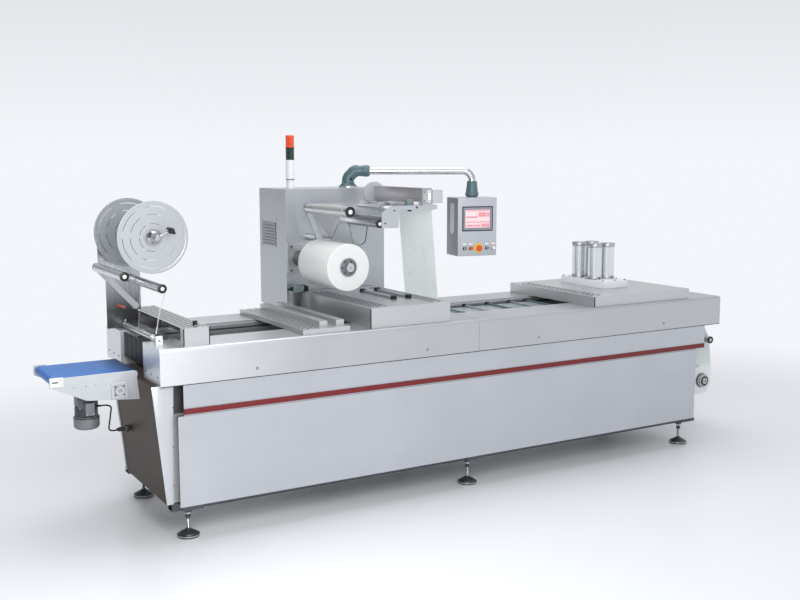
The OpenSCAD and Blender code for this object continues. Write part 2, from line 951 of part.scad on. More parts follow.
module tool_plates() color(dull_steel) {
    block([sealing_tool[0], -tool_y, heater_low],
          [sealing_tool[1], tool_y, rail_top + sealing_h - sheet]);
    difference() {
        block([forming_tool[0], -tool_y, heater_low],
              [forming_tool[1], tool_y, rail_top + forming_h - sheet]);
        block([forming_tool[0] + ring_wall, -tool_y + ring_wall, heater_low - over],
              [forming_tool[1] - ring_wall, tool_y - ring_wall, rail_top + forming_h]);
    }
}

module plug_plate() color(dull_steel) {
    block([forming_tool[0] + ring_wall + sheet, -tool_y + ring_wall + sheet, plug_low],
          [forming_tool[1] - ring_wall - sheet, tool_y - ring_wall - sheet, plug_low + plug_t]);
    at_air_cylinders() {
        rod_z([0, 0], plug_low + plug_t, rod_top, rod_d);
        rod_z([0, 0], rod_top, rod_top + piston_h, air_cyl_d - 2 * air_wall - 2 * run_gap);
    }
}

module die(tool) {
    mid = (tool[0] + tool[1]) / 2;
    length = (tool[1] - tool[0] - 3 * pocket_wall) / 2;
    width = (2 * tool_y - 3 * pocket_wall) / 2;
    difference() {
        block([tool[0], -tool_y, die_low], [tool[1], tool_y, die_high]);
        for (i = [0, 1], j = [0, 1])
            translate([tool[0] + pocket_wall + i * (length + pocket_wall),
                -tool_y + pocket_wall + j * (width + pocket_wall), die_high - pocket_depth])
                cube([length, width, pocket_depth + over]);
    }
    rod_z([mid, 0], lift_rod_low, die_low, lift_rod_d);
    rod_z([mid, 0], lift_rod_low - piston_h, lift_rod_low, lift_d - 2 * lift_wall - 2 * run_gap);
    for (y = [-column_y, column_y])
        pipe_z([mid, y], sleeve_low, die_low, sleeve_d, column_d + 2 * run_gap);
}

module forming_die() color(dull_steel) die(forming_tool);

module sealing_die() color(dull_steel) die(sealing_tool);

module die_lift(tool) {
    mid = (tool[0] + tool[1]) / 2;
    rod_z([mid, 0], frame_top, frame_top + lift_cap, lift_d);
    pipe_z([mid, 0], frame_top + lift_cap, lift_top - lift_cap, lift_d, lift_d - 2 * lift_wall);
    pipe_z([mid, 0], lift_top - lift_cap, lift_top, lift_d, lift_rod_d + 2 * run_gap);
    for (y = [-column_y, column_y]) rod_z([mid, y], frame_top, column_top, column_d);
}

module knife_lift() {
    half = knife_bar_w;
    difference() {
        block([knife_x - half, -trough_y, knife_beam_low], [knife_x + half, trough_y, rail_low]);
        for (y = [-knife_y, knife_y])
            rod_z([knife_x, y], knife_beam_low - over, rail_low + over, knife_rod_d + 2 * run_gap);
    }
    for (y = [-knife_y, knife_y]) difference() {
        rod_z([knife_x, y], knife_lift_low, knife_beam_low, knife_lift_d);
        rod_z([knife_x, y], knife_lift_low + lift_cap, knife_beam_low + over, knife_lift_d - 2 * lift_wall);
    }
}

module die_lifts() color(dull_steel) {
    die_lift(forming_tool);
    die_lift(sealing_tool);
    knife_lift();
}

module cross_knife() color(steel) {
    block([knife_x - knife_bar_w / 2, -tool_y, knife_bar_z[0]],
          [knife_x + knife_bar_w / 2, tool_y, knife_bar_z[1]]);
    block([knife_x - blade_t / 2, -tool_y, knife_bar_z[1]], [knife_x + blade_t / 2, tool_y, blade_top]);
    for (y = [-knife_y, knife_y])
        rod_z([knife_x, y], knife_lift_low + knife_lift_d, knife_bar_z[0], knife_rod_d);
}

// Conveyor

module conveyor_side() {
    outer_end = panel_x(panel_high);
    difference() {
        plate_y([[tail_block_x[0], tail_block_low], [tail_block_x[0], tail_block_high],
            [tail_block_x[1], tail_block_high], [tail_block_x[1], side_high], [outer_end, side_high],
            [outer_end, panel_high], [panel_x(side_foot), side_foot], side_knee],
            side_in, side_in + side_t);
        rod_y([tail_x, belt_top - belt_t - soft_gap - tail_r], 0, 2 * side_in, axle_d + 2 * run_gap);
        rod_y(drive_at, 0, 2 * side_in, drive_axle_d + 2 * run_gap);
    }
}

module bearing_flange() {
    half = bearing_w / 2;
    face = side_in + side_t;
    difference() {
        union() {
            block([drive_at[0] - half, face, drive_at[1] - half],
                  [drive_at[0] + half, face + bearing_t, drive_at[1] + half]);
            rod_y(drive_at, face, face + 2 * bearing_t, bearing_ring_d);
            for (i = [-1, 1], j = [-1, 1])
                rod_y([drive_at[0] + i * half * bearing_screw_share,
                       drive_at[1] + j * half * bearing_screw_share],
                    face, face + bearing_t + screw_d / 2, head_d);
        }
        rod_y(drive_at, side_in, face + 3 * bearing_t, drive_axle_d + 2 * run_gap);
    }
}

module conveyor_frame() color(steel) {
    belt_z = belt_top - belt_t;
    both_sides() conveyor_side();
    both_sides() bearing_flange();
    block([tail_x + tail_r, -side_in, belt_z - soft_gap - side_t],
          [head_x, side_in, belt_z - soft_gap]);
    rod_y([head_x, belt_z - soft_gap - tail_r], -side_in, side_in, 2 * tail_r);
    block([side_knee[0] - side_t, -side_in, side_knee[1]],
          [motor_x + motor_d / 2, side_in, side_knee[1] + side_t]);
}

module belt_outline(extra) {
    axis_z = belt_top - belt_t - soft_gap - tail_r;
    hull() {
        translate([tail_x, axis_z]) circle(r = tail_r + extra);
        translate([head_x, axis_z]) circle(r = tail_r + extra);
        translate(drive_at) circle(r = drive_r + extra);
    }
}

module conveyor_belt() color(blue) {
    translate([0, belt_w / 2, 0]) rotate([90, 0, 0]) linear_extrude(belt_w) difference() {
        belt_outline(belt_t + soft_gap);
        belt_outline(soft_gap);
    }
}

module drive_roller() color(dull_steel) {
    rod_y(drive_at, -belt_w / 2, belt_w / 2, 2 * drive_r);
    rod_y(drive_at, -side_in - 2 * bearing_t, side_in + 2 * bearing_t, drive_axle_d);
}

module tail_roller() color(dull_steel) {
    at = [tail_x, belt_top - belt_t - soft_gap - tail_r];
    rod_y(at, -belt_w / 2, belt_w / 2, 2 * tail_r);
    rod_y(at, -side_in - side_t, side_in + side_t, axle_d);
}

module conveyor_gearmotor() {
    at = [motor_x, motor_y];
    color(dark_grey) {
        rod_z(at, motor_low, fan_top, motor_d);
        rod_z(at, fan_top, motor_top, motor_d * motor_neck_share);
        block([motor_x - terminal_w / 2, motor_y - motor_d / 2 - terminal_out, terminal_low],
              [motor_x + terminal_w / 2, motor_y, terminal_high]);
        rod_x(cable_points[0][1], cable_points[0][2], motor_x + terminal_w / 2, cable_points[0][0], gland_d);
    }
    color(dull_steel) translate([motor_x - gear_w / 2, motor_y - gear_w / 2, motor_top])
        cube([gear_w, gear_w, side_knee[1] - motor_top]);
}

module motor_cable() color(black) cord(cable_points, cable_d, 2);

// Trim rewinder

module rewinder_plate() {
    color(steel) difference() {
        plate_y([[plate_left, rail_top], [plate_left, plate_steps[0]], [plate_ear, plate_steps[1]],
            [plate_ear, plate_steps[2]], [plate_left, plate_steps[3]], [plate_right, plate_steps[3]],
            [plate_right, plate_foot_top], [plate_foot_right, plate_foot_top],
            [plate_foot_right, rail_top]], plate_y, plate_y + plate_t);
        rod_y([reel_x, reel_z], 0, 2 * plate_y, reel_shaft_d + 2 * run_gap);
        rod_y(arm_pivot, 0, 2 * plate_y, pivot_d + 2 * run_gap);
        for (at = [scrap_at, low_roller_at]) rod_y(at, 0, 2 * plate_y, roller_shaft_d + 2 * run_gap);
    }
    color(dull_steel) pipe_y([reel_x, reel_z], plate_y - reel_bearing_h, plate_y, 2 * reel_shaft_d,
        reel_shaft_d + 2 * run_gap);
    color(dull_steel) difference() {
        block([low_roller_at[0] - low_roller_d / 2, low_bracket_y[0], rail_top],
              [low_roller_at[0] + low_roller_d / 2, low_bracket_y[1], rail_top + low_bracket_h]);
        rod_y(low_roller_at, low_bracket_y[0] - over, low_bracket_y[1] + over, roller_shaft_d + 2 * run_gap);
    }
}

module arc_slot(r, turn) {
    step = arc_sweep / arc_steps;
    polygon(concat([for (i = [0:arc_steps]) on_circle([0, 0], r - arc_w / 2, turn + i * step)],
        [for (i = [arc_steps:-1:0]) on_circle([0, 0], r + arc_w / 2, turn + i * step)]));
}

module reel_disc(y) {
    translate([reel_x, y, reel_z]) rotate([90, 0, 0]) linear_extrude(disc_t) difference() {
        circle(d = reel_d);
        for (r = arc_rings, i = [0:arc_count - 1]) arc_slot(r, i * 360 / arc_count);
    }
}

module rewinder_reel() {
    at = [reel_x, reel_z];
    color(white) {
        reel_disc(-disc_y);
        reel_disc(disc_y + disc_t);
    }
    color(dull_steel) rod_y(at, -disc_y, disc_y, core_d);
    color(dull_steel) rod_y(at, disc_y + disc_t, plate_y + 2 * plate_t, reel_shaft_d);
    color(dull_steel) translate([reel_x, -disc_y - disc_t, reel_z]) rotate([90, 0, 0])
        cylinder(d1 = hub_d, d2 = reel_shaft_d, h = -reel_front - disc_y - disc_t);
    reach = lever_to - at;
    color(dull_steel) rod_y(at, reel_front - lever_d - 2 * lever_gap, reel_front, reel_shaft_d);
    color(black) translate([reel_x, reel_front - lever_d - lever_gap, reel_z])
        rotate([0, -atan2(reach[1], reach[0]), 0]) {
            translate([0, 0, -lever_d / 2]) cube([norm(reach), lever_d, lever_d]);
            rod_y([norm(reach), 0], -lever_ball, lever_d + lever_gap, lever_ball);
        }
}

module rewinder_arm() color(steel) {
    difference() {
        link_y(arm_pivot, arm_tip, arm_w, arm_plate_y, arm_plate_y + arm_plate_t);
        rod_y(arm_tip, 0, 2 * plate_y, roller_shaft_d + 2 * run_gap);
    }
    rod_y(arm_pivot, arm_plate_y + arm_plate_t, plate_y + 2 * plate_t, pivot_d);
}

module capped_roller(at, d, front, back, shaft_to) {
    color(steel) rod_y(at, front, back, d);
    color(dull_steel) rod_y(at, back, shaft_to, roller_shaft_d);
}

module rewinder_roller()
    capped_roller(arm_tip, roller_d, roller_front, arm_plate_y - soft_gap, arm_plate_y + 1.5 * arm_plate_t);

module scrap_roller()
    capped_roller(scrap_at, roller_d, roller_front, plate_y - roller_gap, plate_y + 2 * plate_t);

module lower_scrap_roller() {
    capped_roller(low_roller_at, low_roller_d, -trough_y, plate_y - roller_gap, plate_y + 2 * plate_t);
    color(dull_steel) rod_y(low_roller_at, low_bracket_y[0] - sheet, -trough_y, roller_shaft_d);
}

// Cabinet

module cabinet_shell() {
    difference() {
        block([cabinet_x, cabinet_front, rail_top], [cabinet_end, cabinet_rear, cabinet_top]);
        block([cabinet_x + sheet, cabinet_front + sheet, rail_top + sheet],
              [cabinet_end - sheet, cabinet_rear + over, cabinet_top - sheet]);
        for (i = [0:louvre_count - 1])
            translate([0, 0, louvre_z[0] + i * (louvre_z[1] - louvre_z[0]) / louvre_count])
                block([cabinet_x - over, louvre_y[0], 0], [cabinet_x + sheet + over, louvre_y[1], louvre_h]);
        rod_z(arm_base, cabinet_top - sheet - over, cabinet_top + over, spigot_d + 2 * run_gap);
    }
}

module cabinet_prop(x) {
    translate([x, 0, 0]) rotate([90, 0, 90]) linear_extrude(prop_w)
        polygon([[outer_y, rail_top - prop_h], [outer_y, rail_top], [cabinet_rear - prop_w, rail_top]]);
}

module electric_plate() {
    y = cabinet_front + sheet + back_plate_gap;
    low = rail_top + sheet;
    step = (cabinet_w - device_d) / (device_columns + 1);
    block([cabinet_x + device_d, y, low], [cabinet_end - device_d, y + sheet, cabinet_top - device_d]);
    for (i = [0:device_columns - 1], j = [0:device_rows - 1])
        translate([cabinet_x + device_d + step / 4 + i * step, y + sheet,
                   low + device_d + j * 2 * device_d])
            cube([step * device_share, device_d, device_d]);
}

module cabinet_hinges() {
    at = [cabinet_end + hinge_r + soft_gap, cabinet_rear];
    for (z = knuckle_z) {
        rod_z(at, z - knuckle_h - soft_gap, z - soft_gap, 2 * hinge_r);
        block([cabinet_end, cabinet_rear - 2 * hinge_r, z - knuckle_h - soft_gap],
              [at[0], cabinet_rear - hinge_r / 2, z - soft_gap]);
        rod_z(at, z - soft_gap, z + knuckle_h, pin_d);
    }
}

module cabinet() {
    color(steel) cabinet_shell();
    color(steel) for (x = [cabinet_x, cabinet_end - prop_w]) cabinet_prop(x);
    color(dark_grey) electric_plate();
    color(dull_steel) cabinet_hinges();
    color(teal_grey) pipe_z(arm_base, cabinet_top, cabinet_top + base_ring_h, base_ring_d,
        spigot_d + 2 * run_gap);
}

module cabinet_door() {
    y = cabinet_rear + soft_gap;
    at = [cabinet_end + hinge_r + soft_gap, cabinet_rear];
    color(steel) block([cabinet_x, y, rail_top + sheet], [cabinet_end, y + sheet, cabinet_top - sheet]);
    color(dull_steel) for (z = knuckle_z) difference() {
        union() {
            rod_z(at, z, z + knuckle_h, 2 * hinge_r);
            block([cabinet_end - hinge_r, y, z], [at[0], y + sheet, z + knuckle_h]);
        }
        rod_z(at, z - over, z + knuckle_h + over, pin_d + 2 * run_gap);
    }
    color(black) rod_y([cabinet_x + prop_w, handle_z], y + sheet, y + sheet + handle_h, handle_d);
}

module signal_tower() {
    colours = [dark_grey, dull_steel, [0.10, 0.45, 0.30], [0.93, 0.30, 0.12]];
    function height(i) = i < 0 ? cabinet_top : height(i - 1) + tower_steps[i];
    for (i = [0:3]) color(colours[i]) rod_z(tower_at, height(i - 1), height(i), tower_d);
}

// Upper film path

module roll_flange() {
    bore = upper_shaft_d + 2 * run_gap;
    color(dull_steel) difference() {
        block([flange_x[0], cabinet_front - flange_t, flange_z[0]],
              [flange_x[1], cabinet_front, flange_z[1]]);
        rod_y(upper_at, brake_y, cabinet_front + over, bore);
    }
    color(dull_steel) pipe_y(upper_at, flange_tube_y, cabinet_front - flange_t, flange_tube_d, bore);
    color(dark_grey) for (i = [-1, 1], j = [-1, 1])
        rod_y([upper_at[0] + i * flange_bolt[0], upper_at[1] + j * flange_bolt[1]],
            cabinet_front - flange_t - screw_d, cabinet_front - flange_t, head_d);
}

module upper_film_roll() {
    half = film_w / 2;
    color(white) pipe_y(upper_at, -half, half, upper_roll_d, upper_core_d);
    color(dark_grey) rod_y(upper_at, half, brake_y, upper_core_d);
    color(black) rod_y(upper_at, brake_y, brake_y + brake_t, brake_d);
    color(dull_steel) rod_y(upper_at, -half + chuck_deep, half, upper_core_d);
    color(dull_steel) rod_y(upper_at, -half - chuck_reach, -half + chuck_deep, upper_shaft_d);
    color(dull_steel) rod_y(upper_at, brake_y + brake_t, cabinet_front - soft_gap, upper_shaft_d);
}

module dancer_arm() color(steel) {
    difference() {
        link_y(dancer_pivot, dancer_at, dancer_arm_w, dancer_arm_y, dancer_arm_y + dancer_arm_t);
        rod_y(dancer_at, 0, 2 * dancer_arm_y, roller_shaft_d + 2 * run_gap);
    }
    rod_y(dancer_pivot, dancer_arm_y + dancer_arm_t, cabinet_front - soft_gap, dancer_pin_d);
}

module dancer_roller()
    capped_roller(dancer_at, dancer_d, roller_front, dancer_back, dancer_arm_y + 2 * dancer_arm_t);

module guide_roller()
    capped_roller(guide_at, guide_d, roller_front, guide_back, back_side_y + 2 * side_plate_t);

module side_outline(y) {
    plate_y(side_points, y, y + side_plate_t);
    block([side_points[4][0] - cross_w, y, rail_arm_z[0]], [rail_arm_end, y + side_plate_t, rail_arm_z[1]]);
}

module web_guide_frame() {
    color(steel) difference() {
        union() {
            side_outline(side_plate_y);
            side_outline(back_side_y);
            link_y(guide_at, [side_points[0][0] + cross_w, guide_at[1]], cross_w,
                back_side_y, back_side_y + side_plate_t);
            for (at = [cross_a, cross_b])
                block([at[0], side_plate_y + side_plate_t, at[1]],
                      [at[0] + cross_w, cabinet_front, at[1] + cross_w]);
        }
        rod_y(guide_at, 0, cabinet_front, roller_shaft_d + 2 * run_gap);
    }
    color(steel)
        pipe_y(dancer_pivot, dancer_boss_y, cabinet_front, dancer_boss_d, dancer_pin_d + 2 * run_gap);
    color(black)
        rod_y([hose_points[0][0], hose_points[0][2]], hose_points[0][1], cabinet_front, hose_fitting_d);
    color(dull_steel) rod_y([turn_at_x, dancer_at[1] + dancer_d / 2 - turn_r], side_plate_y + side_plate_t,
        back_side_y, 2 * turn_r);
    color(dull_steel) {
        rod_y(lower_turn_at, -trough_y, trough_y, 2 * lower_turn_r);
        both_sides() block([lower_turn_at[0] - lower_turn_r, trough_y, rail_top],
            [lower_turn_at[0] + lower_turn_r, trough_y + lower_turn_block[0],
             rail_top + lower_turn_block[1]]);
    }
}

module printer_beam() {
    color(dark_grey) block([beam_x[0], beam_y[0], beam_low], [beam_x[1], beam_y[1], beam_high]);
    color(steel) block([beam_x[0], beam_y[0], beam_high], [beam_x[1], beam_y[1], beam_high + beam_cap_t]);
    color(steel) for (y = [side_plate_y, back_side_y])
        block([beam_post_x[0], y, rail_arm_z[1]], [beam_post_x[1], y + side_plate_t, beam_low]);
    color(white) block([beam_x[1], box_y[0], box_z[0]], [box_x[1], box_y[1], box_z[1]]);
    color(white)
        rod_y([beam_x[0], (beam_low + beam_high) / 2], beam_y[1], beam_y[1] + disc_white_t, disc_white_d);
}

// Film webs follow straight runs and arcs between rollers

// The direction from a roller's centre to its contact point for a straight run to the next roller. side is
// one where the film lies on the left of the way from a to b, and minus one on its right.
function contact_turn(a, ra, b, rb, side) =
    atan2(b[1] - a[1], b[0] - a[0]) + side * acos((ra - rb) / norm(b - a));
function on_circle(c, r, turn) = c + r * [cos(turn), sin(turn)];

function arc_points(c, r, from, to) =
    [for (i = [0:film_arc_steps]) on_circle(c, r, from + (to - from) * i / film_arc_steps)];
function backwards(p) = [for (i = [len(p) - 1:-1:0]) p[i]];

// The upper web's side at a distance from its middle: roll, dancer, turn bar, lower bar, end.
function upper_side(off, turn, up, down) = concat(
    [on_circle(upper_at, upper_roll_d / 2 + film_seat + off, up)],
    arc_points(dancer_at, dancer_d / 2 + film_seat + off, up, 90),
    arc_points(turn, turn_r + film_seat + off, 90, down),
    arc_points(lower_turn_at, lower_turn_r + film_seat + off, down, -90),
    [[lower_turn_end, lower_turn_at[1] - lower_turn_r - film_seat - off]]);

// The lower web's side at a distance from its middle: roll, infeed roller, rail end, idler shaft.
function lower_side(off, entry, up, leave) = concat(
    [on_circle([roll_x, roll_z], lower_roll_d / 2 + film_seat + off, up)],
    arc_points([infeed_x, infeed_z], infeed_d / 2 + film_seat + off, up, leave),
    arc_points(entry, turn_r + film_seat + off, leave, 90),
    [[idler_x, entry[1] + turn_r + film_seat + off]]);

module film_webs() color(white) {
    turn = [turn_at_x, dancer_at[1] + dancer_d / 2 - turn_r];
    up = contact_turn(upper_at, upper_roll_d / 2, dancer_at, dancer_d / 2, 1);
    down = contact_turn(turn, turn_r, lower_turn_at, lower_turn_r, 1);
    plate_y(concat(upper_side(film_t / 2, turn, up, down),
        backwards(upper_side(-film_t / 2, turn, up, down))), -film_w / 2, film_w / 2);
    entry = [rail_len, shaft_z + chain_r - turn_r];
    low_up = contact_turn([roll_x, roll_z], lower_roll_d / 2, [infeed_x, infeed_z], infeed_d / 2, -1);
    leave = contact_turn([infeed_x, infeed_z], infeed_d / 2, entry, turn_r, -1);
    plate_y(concat(lower_side(film_t / 2, entry, low_up, leave),
        backwards(lower_side(-film_t / 2, entry, low_up, leave))), -film_w / 2, film_w / 2);
}

module air_hose() color(black) cord(hose_points, hose_d, 2);

module lower_film_roll() {
    half = film_w / 2;
    at = [roll_x, roll_z];
    color(white) rod_y(at, -half, half, lower_roll_d);
    color(dull_steel) rod_y(at, -half - lower_chuck_reach, -half, lower_chuck_d);
    color(dull_steel) rod_y(at, half, roll_plate_y + 2 * roll_plate_t, shaft_d);
}

module infeed_roller() {
    at = [infeed_x, infeed_z];
    color(steel) rod_y(at, -film_w / 2 - lower_chuck_reach, trough_y, infeed_d);
    color(dull_steel) rod_y(at, trough_y, roll_plate_y + 2 * roll_plate_t, drive_axle_d);
}

// Operator panel

module at_hmi() {
    translate([hmi_axis[0], hmi_axis[1], 0]) rotate([0, 0, hmi_turn]) children();
}

module arm_castings() color(teal_grey) {
    low = cabinet_top + base_ring_h + soft_gap;
    rod_z(arm_base, low, arm_z, column_arm_d);
    translate([arm_base[0], arm_base[1], arm_z]) sphere(d = column_arm_d);
    rod_z(arm_base, cabinet_top - sheet, low, spigot_d);
    translate([arm_base[0], arm_base[1], arm_z]) rotate([0, 0, arm_turn]) rotate([0, 90, 0])
        difference() {
            cylinder(d = socket_d, h = socket_len);
            translate([0, 0, column_arm_d / 2 + sheet]) cylinder(d = arm_d, h = arm_len);
        }
    translate([hmi_axis[0], hmi_axis[1], 0]) {
        rod_z([0, 0], coupling_z + soft_gap, arm_z, coupling_neck_d);
        translate([0, 0, arm_z]) sphere(d = coupling_neck_d);
        rod_z([0, 0], coupling_z - coupling_neck_d, coupling_z + soft_gap, spigot_d);
    }
}

module arm_tube() color(steel) difference() {
    translate([arm_base[0], arm_base[1], arm_z]) rotate([0, 0, arm_turn]) rotate([0, 90, 0])
        translate([0, 0, column_arm_d / 2 + sheet]) difference() {
            cylinder(d = arm_d, h = arm_len - column_arm_d / 2 - sheet);
            translate([0, 0, -over]) cylinder(d = arm_d - 2 * tube_wall, h = arm_len);
        }
    translate([hmi_axis[0], hmi_axis[1], arm_z]) sphere(d = coupling_neck_d);
    rod_z(hmi_axis, coupling_z, arm_z, coupling_neck_d);
}

module hmi_box() {
    front = -hmi_depth / 2;
    color(dull_steel) at_hmi() {
        difference() {
            block([-hmi_w / 2, front, hmi_low], [hmi_w / 2, hmi_depth / 2, hmi_top]);
            block([-hmi_w / 2 + sheet, front + sheet, hmi_low + sheet],
                  [hmi_w / 2 - sheet, hmi_depth / 2 - sheet, hmi_top - sheet]);
            for (i = [1, 2, 4])
                rod_y([button_shares[i] * hmi_w, button_z], front - over, front + sheet + over,
                    button_stem_d + 2 * run_gap);
        }
        translate([-hmi_w / 2 - oval_rise, 0, screen_mid_z]) rotate([0, 90, 0]) {
            cylinder(d = oval_w, h = oval_rise);
        }
    }
    color(teal_grey) at_hmi() difference() {
        translate([0, 0, hmi_top]) cylinder(d1 = coupling_d, d2 = coupling_top_d, h = coupling_z - hmi_top);
        rod_z([0, 0], coupling_z - coupling_neck_d - soft_gap, coupling_z + over, spigot_d + 2 * run_gap);
    }
    color(black) at_hmi() for (i = [0, 3])
        rod_y([button_shares[i] * hmi_w, button_z], front - button_travel_room, front, small_button_d);
    color([0.90, 0.75, 0.10]) at_hmi() pipe_y([button_shares[2] * hmi_w, button_z], front - button_face_t,
        front, ring_d, button_stem_d + 2 * run_gap);
}

module hmi_screen() color(black) at_hmi()
    block([-screen_w / 2, -hmi_depth / 2 - screen_t, screen_mid_z - screen_h / 2],
          [screen_w / 2, -hmi_depth / 2, screen_mid_z + screen_h / 2]);

module push_button(i, d, rest) at_hmi() {
    at = [button_shares[i] * hmi_w, button_z];
    front = -hmi_depth / 2;
    rod_y(at, front - rest - button_travel_room, front - rest, d);
    rod_y(at, front - rest, front + button_deep - button_travel_room, button_stem_d);
}

module estop_button() color(red) push_button(2, estop_d, button_face_t + button_travel_room);

module start_button() color(white) push_button(4, small_button_d, button_travel_room);

module stop_button() color([0.90, 0.25, 0.10]) push_button(1, small_button_d, button_travel_room);

place() base_frame();
place() levelling_feet();
place() front_rail();
place() rear_rail();
place() upper_skirts();
place() lower_skirts();
place() red_trims();
place() end_panels();
place() panel_screws();
place() chain_guides();
place() transport_chains();
place() forming_cover();
place() cylinder_block();
place() forming_cylinders();
place() tool_plates();
place() sealing_cover();
place() cover_fittings();
place() cutting_plate();
place() discharge_cover();
place() conveyor_frame();
place() conveyor_belt();
place() conveyor_gearmotor();
place() motor_cable();
place() die_lifts();
place() rewinder_plate();
place() cabinet();
place() signal_tower();
place() roll_flange();
place() web_guide_frame();
place() printer_beam();
place() film_webs();
place() air_hose();
place() cabinet_door();
place() arm_castings();
place() arm_tube();
place() hmi_box();
place() hmi_screen();
place() estop_button();
place() start_button();
place() stop_button();
place() upper_film_roll();
place() dancer_arm();
place() dancer_roller();
place() guide_roller();
place() rewinder_reel();
place() rewinder_arm();
place() rewinder_roller();
place() scrap_roller();
place() lower_scrap_roller();
place() lower_film_roll();
place() infeed_roller();
place() drive_roller();
place() tail_roller();
place() drive_shaft();
place() idler_shaft();
place() forming_die();
place() sealing_die();
place() plug_plate();
place() cross_knife();
place() slitter_shaft();
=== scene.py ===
"""Finished surfaces of a thermoforming packaging machine, built round its CAD frame.

Lengths inside the shape functions are in millimetres, in the machine's own axes: x from the outfeed end
to the infeed end, y from the operator's side to the rear, z up from the floor.
"""

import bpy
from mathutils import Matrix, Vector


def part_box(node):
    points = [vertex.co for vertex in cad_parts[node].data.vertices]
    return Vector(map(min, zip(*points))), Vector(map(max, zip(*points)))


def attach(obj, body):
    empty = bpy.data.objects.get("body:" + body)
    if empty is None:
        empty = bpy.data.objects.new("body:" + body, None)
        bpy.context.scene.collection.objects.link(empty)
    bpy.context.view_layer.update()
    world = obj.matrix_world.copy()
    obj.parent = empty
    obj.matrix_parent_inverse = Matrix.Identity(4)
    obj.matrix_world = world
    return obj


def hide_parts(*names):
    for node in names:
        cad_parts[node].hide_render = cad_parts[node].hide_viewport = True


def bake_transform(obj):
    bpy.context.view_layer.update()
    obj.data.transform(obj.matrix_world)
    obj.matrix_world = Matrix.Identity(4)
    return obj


bl_info = {
    "name": "Thermoforming packaging machine",
    "version": (1, 0, 0),
    "blender": (4, 5, 0),
    "location": "View3D > Sidebar > Packer",
    "description": "Builds the finished surfaces of a thermoforming packaging machine",
    "category": "Add Mesh",
}

import bmesh
import bpy
import numpy as np

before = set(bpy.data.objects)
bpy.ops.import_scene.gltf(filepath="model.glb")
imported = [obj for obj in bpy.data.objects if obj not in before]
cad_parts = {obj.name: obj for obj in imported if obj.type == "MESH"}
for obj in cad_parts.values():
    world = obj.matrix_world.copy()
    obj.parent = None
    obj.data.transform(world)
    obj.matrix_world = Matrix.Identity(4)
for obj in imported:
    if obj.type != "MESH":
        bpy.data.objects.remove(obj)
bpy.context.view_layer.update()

# Machine millimetres, and the places that several pieces share
MM = 1000.0
MIDDLE = np.array([1834.0, 200.15, 0.0])
RAIL_LENGTH = 3883.0
RAIL_FACE = 471.0
SCREW_Z = 857.55
SEAM_X = 1900.0
COVER_FACE = 438.0
TOPS = {"forming_cover": 1065.0, "sealing_cover": 1112.0, "cutting_plate": 1027.0, "discharge_cover": 1090.0}
UPPER_ROLL = (1194.0, 0.0, 1315.0)
LOWER_ROLL = (4030.0, 0.0, 354.0)
REEL_AT = (67.0, 0.0, 1531.0)
PANEL_AXIS = np.array([2311.8, 212.2, 0.0])
PANEL_TURN = -10.0
PANEL_WIDTH = 272.0
PANEL_FRONT = -90.0
BUTTON_Z = 1352.0
LENS = 28.0
WEB_WIDTH = 380.0

SHARP = np.radians(32.0)
BACKDROP = (0.90, 0.92, 0.96)
AXES = {
    "x": np.array([[1, 0, 0], [0, 1, 0], [0, 0, 1]], float),
    "y": np.array([[0, 1, 0], [0, 0, 1], [1, 0, 0]], float),
    "z": np.array([[0, 0, 1], [1, 0, 0], [0, 1, 0]], float),
}


def row(points):
    """Machine millimetres to metres in the frame: the point less the machine's middle, over a thousand."""
    return (np.asarray(points, float) - MIDDLE) / MM


def linear(red, green, blue):
    """A screen colour from 0 to 255 as linear light: ((c + 0.055) / 1.055) to the power 2.4."""
    c = np.array([red, green, blue], float) / 255.0
    return tuple(np.where(c <= 0.04045, c / 12.92, ((c + 0.055) / 1.055) ** 2.4))


# Sizes and colours that a user would change


def tone(label, text, value):
    """A colour of the panel, with its label, its text and its first value."""
    return bpy.props.FloatVectorProperty(
        name=label, description=text, subtype="COLOR", size=3, min=0.0, max=1.0, default=value
    )


def length(label, text, metres):
    """A length of the panel in metres, with its label and its text."""
    return bpy.props.FloatProperty(
        name=label, description=text, subtype="DISTANCE", unit="LENGTH", min=0.0, default=metres
    )


class PackerColours(bpy.types.PropertyGroup):
    sheet: tone("Brushed sheet", "Stainless skirts, rails and cabinet", linear(196, 199, 204))
    machined: tone("Machined steel", "Rollers, shafts and turned parts", linear(186, 186, 188))
    end_panel: tone("End panel", "Brownish reflective panel at the outfeed", linear(82, 68, 58))
    stripe: tone("Stripe", "Painted trim along the skirts", linear(112, 12, 20))
    belt: tone("Belt", "Conveyor belt", linear(60, 126, 208))
    casting: tone("Castings", "Painted joints of the panel arm", linear(84, 112, 118))
    motor: tone("Motor", "Gearmotor paint", linear(92, 96, 100))
    dark: tone("Dark parts", "Rubber, caps and knobs", linear(18, 19, 21))
    film: tone("Film", "Rolled film", linear(240, 242, 242))
    web: tone("Web", "Printed upper web", linear(224, 230, 230))
    plastic: tone("White plastic", "Block, printer box and reel hub", linear(238, 240, 243))
    reel: tone("Reel discs", "Grey reel discs", linear(176, 180, 184))
    stop: tone("Stop red", "Emergency stop and stop button", linear(222, 74, 34))
    ring: tone("Ring yellow", "Ring under the emergency stop", linear(240, 200, 50))
    screen: tone("Screen", "Lit screen", linear(238, 206, 210))
    floor: tone("Floor", "Floor under the machine", linear(242, 243, 246))


class PackerSizes(bpy.types.PropertyGroup):
    edge: length("Edge", "Rounding of a sheet's edge", 0.0008)
    brush: length("Brush pitch", "Width of one brush mark on stainless sheet", 0.004)
    seam: length("Seam", "Width of the joint between two panels", 0.0016)
    cable: length("Motor cable", "Diameter of the motor cable", 0.008)
    hose: length("Air hose", "Diameter of the air hose", 0.006)
    film: length("Film", "Thickness of the film webs", 0.0008)


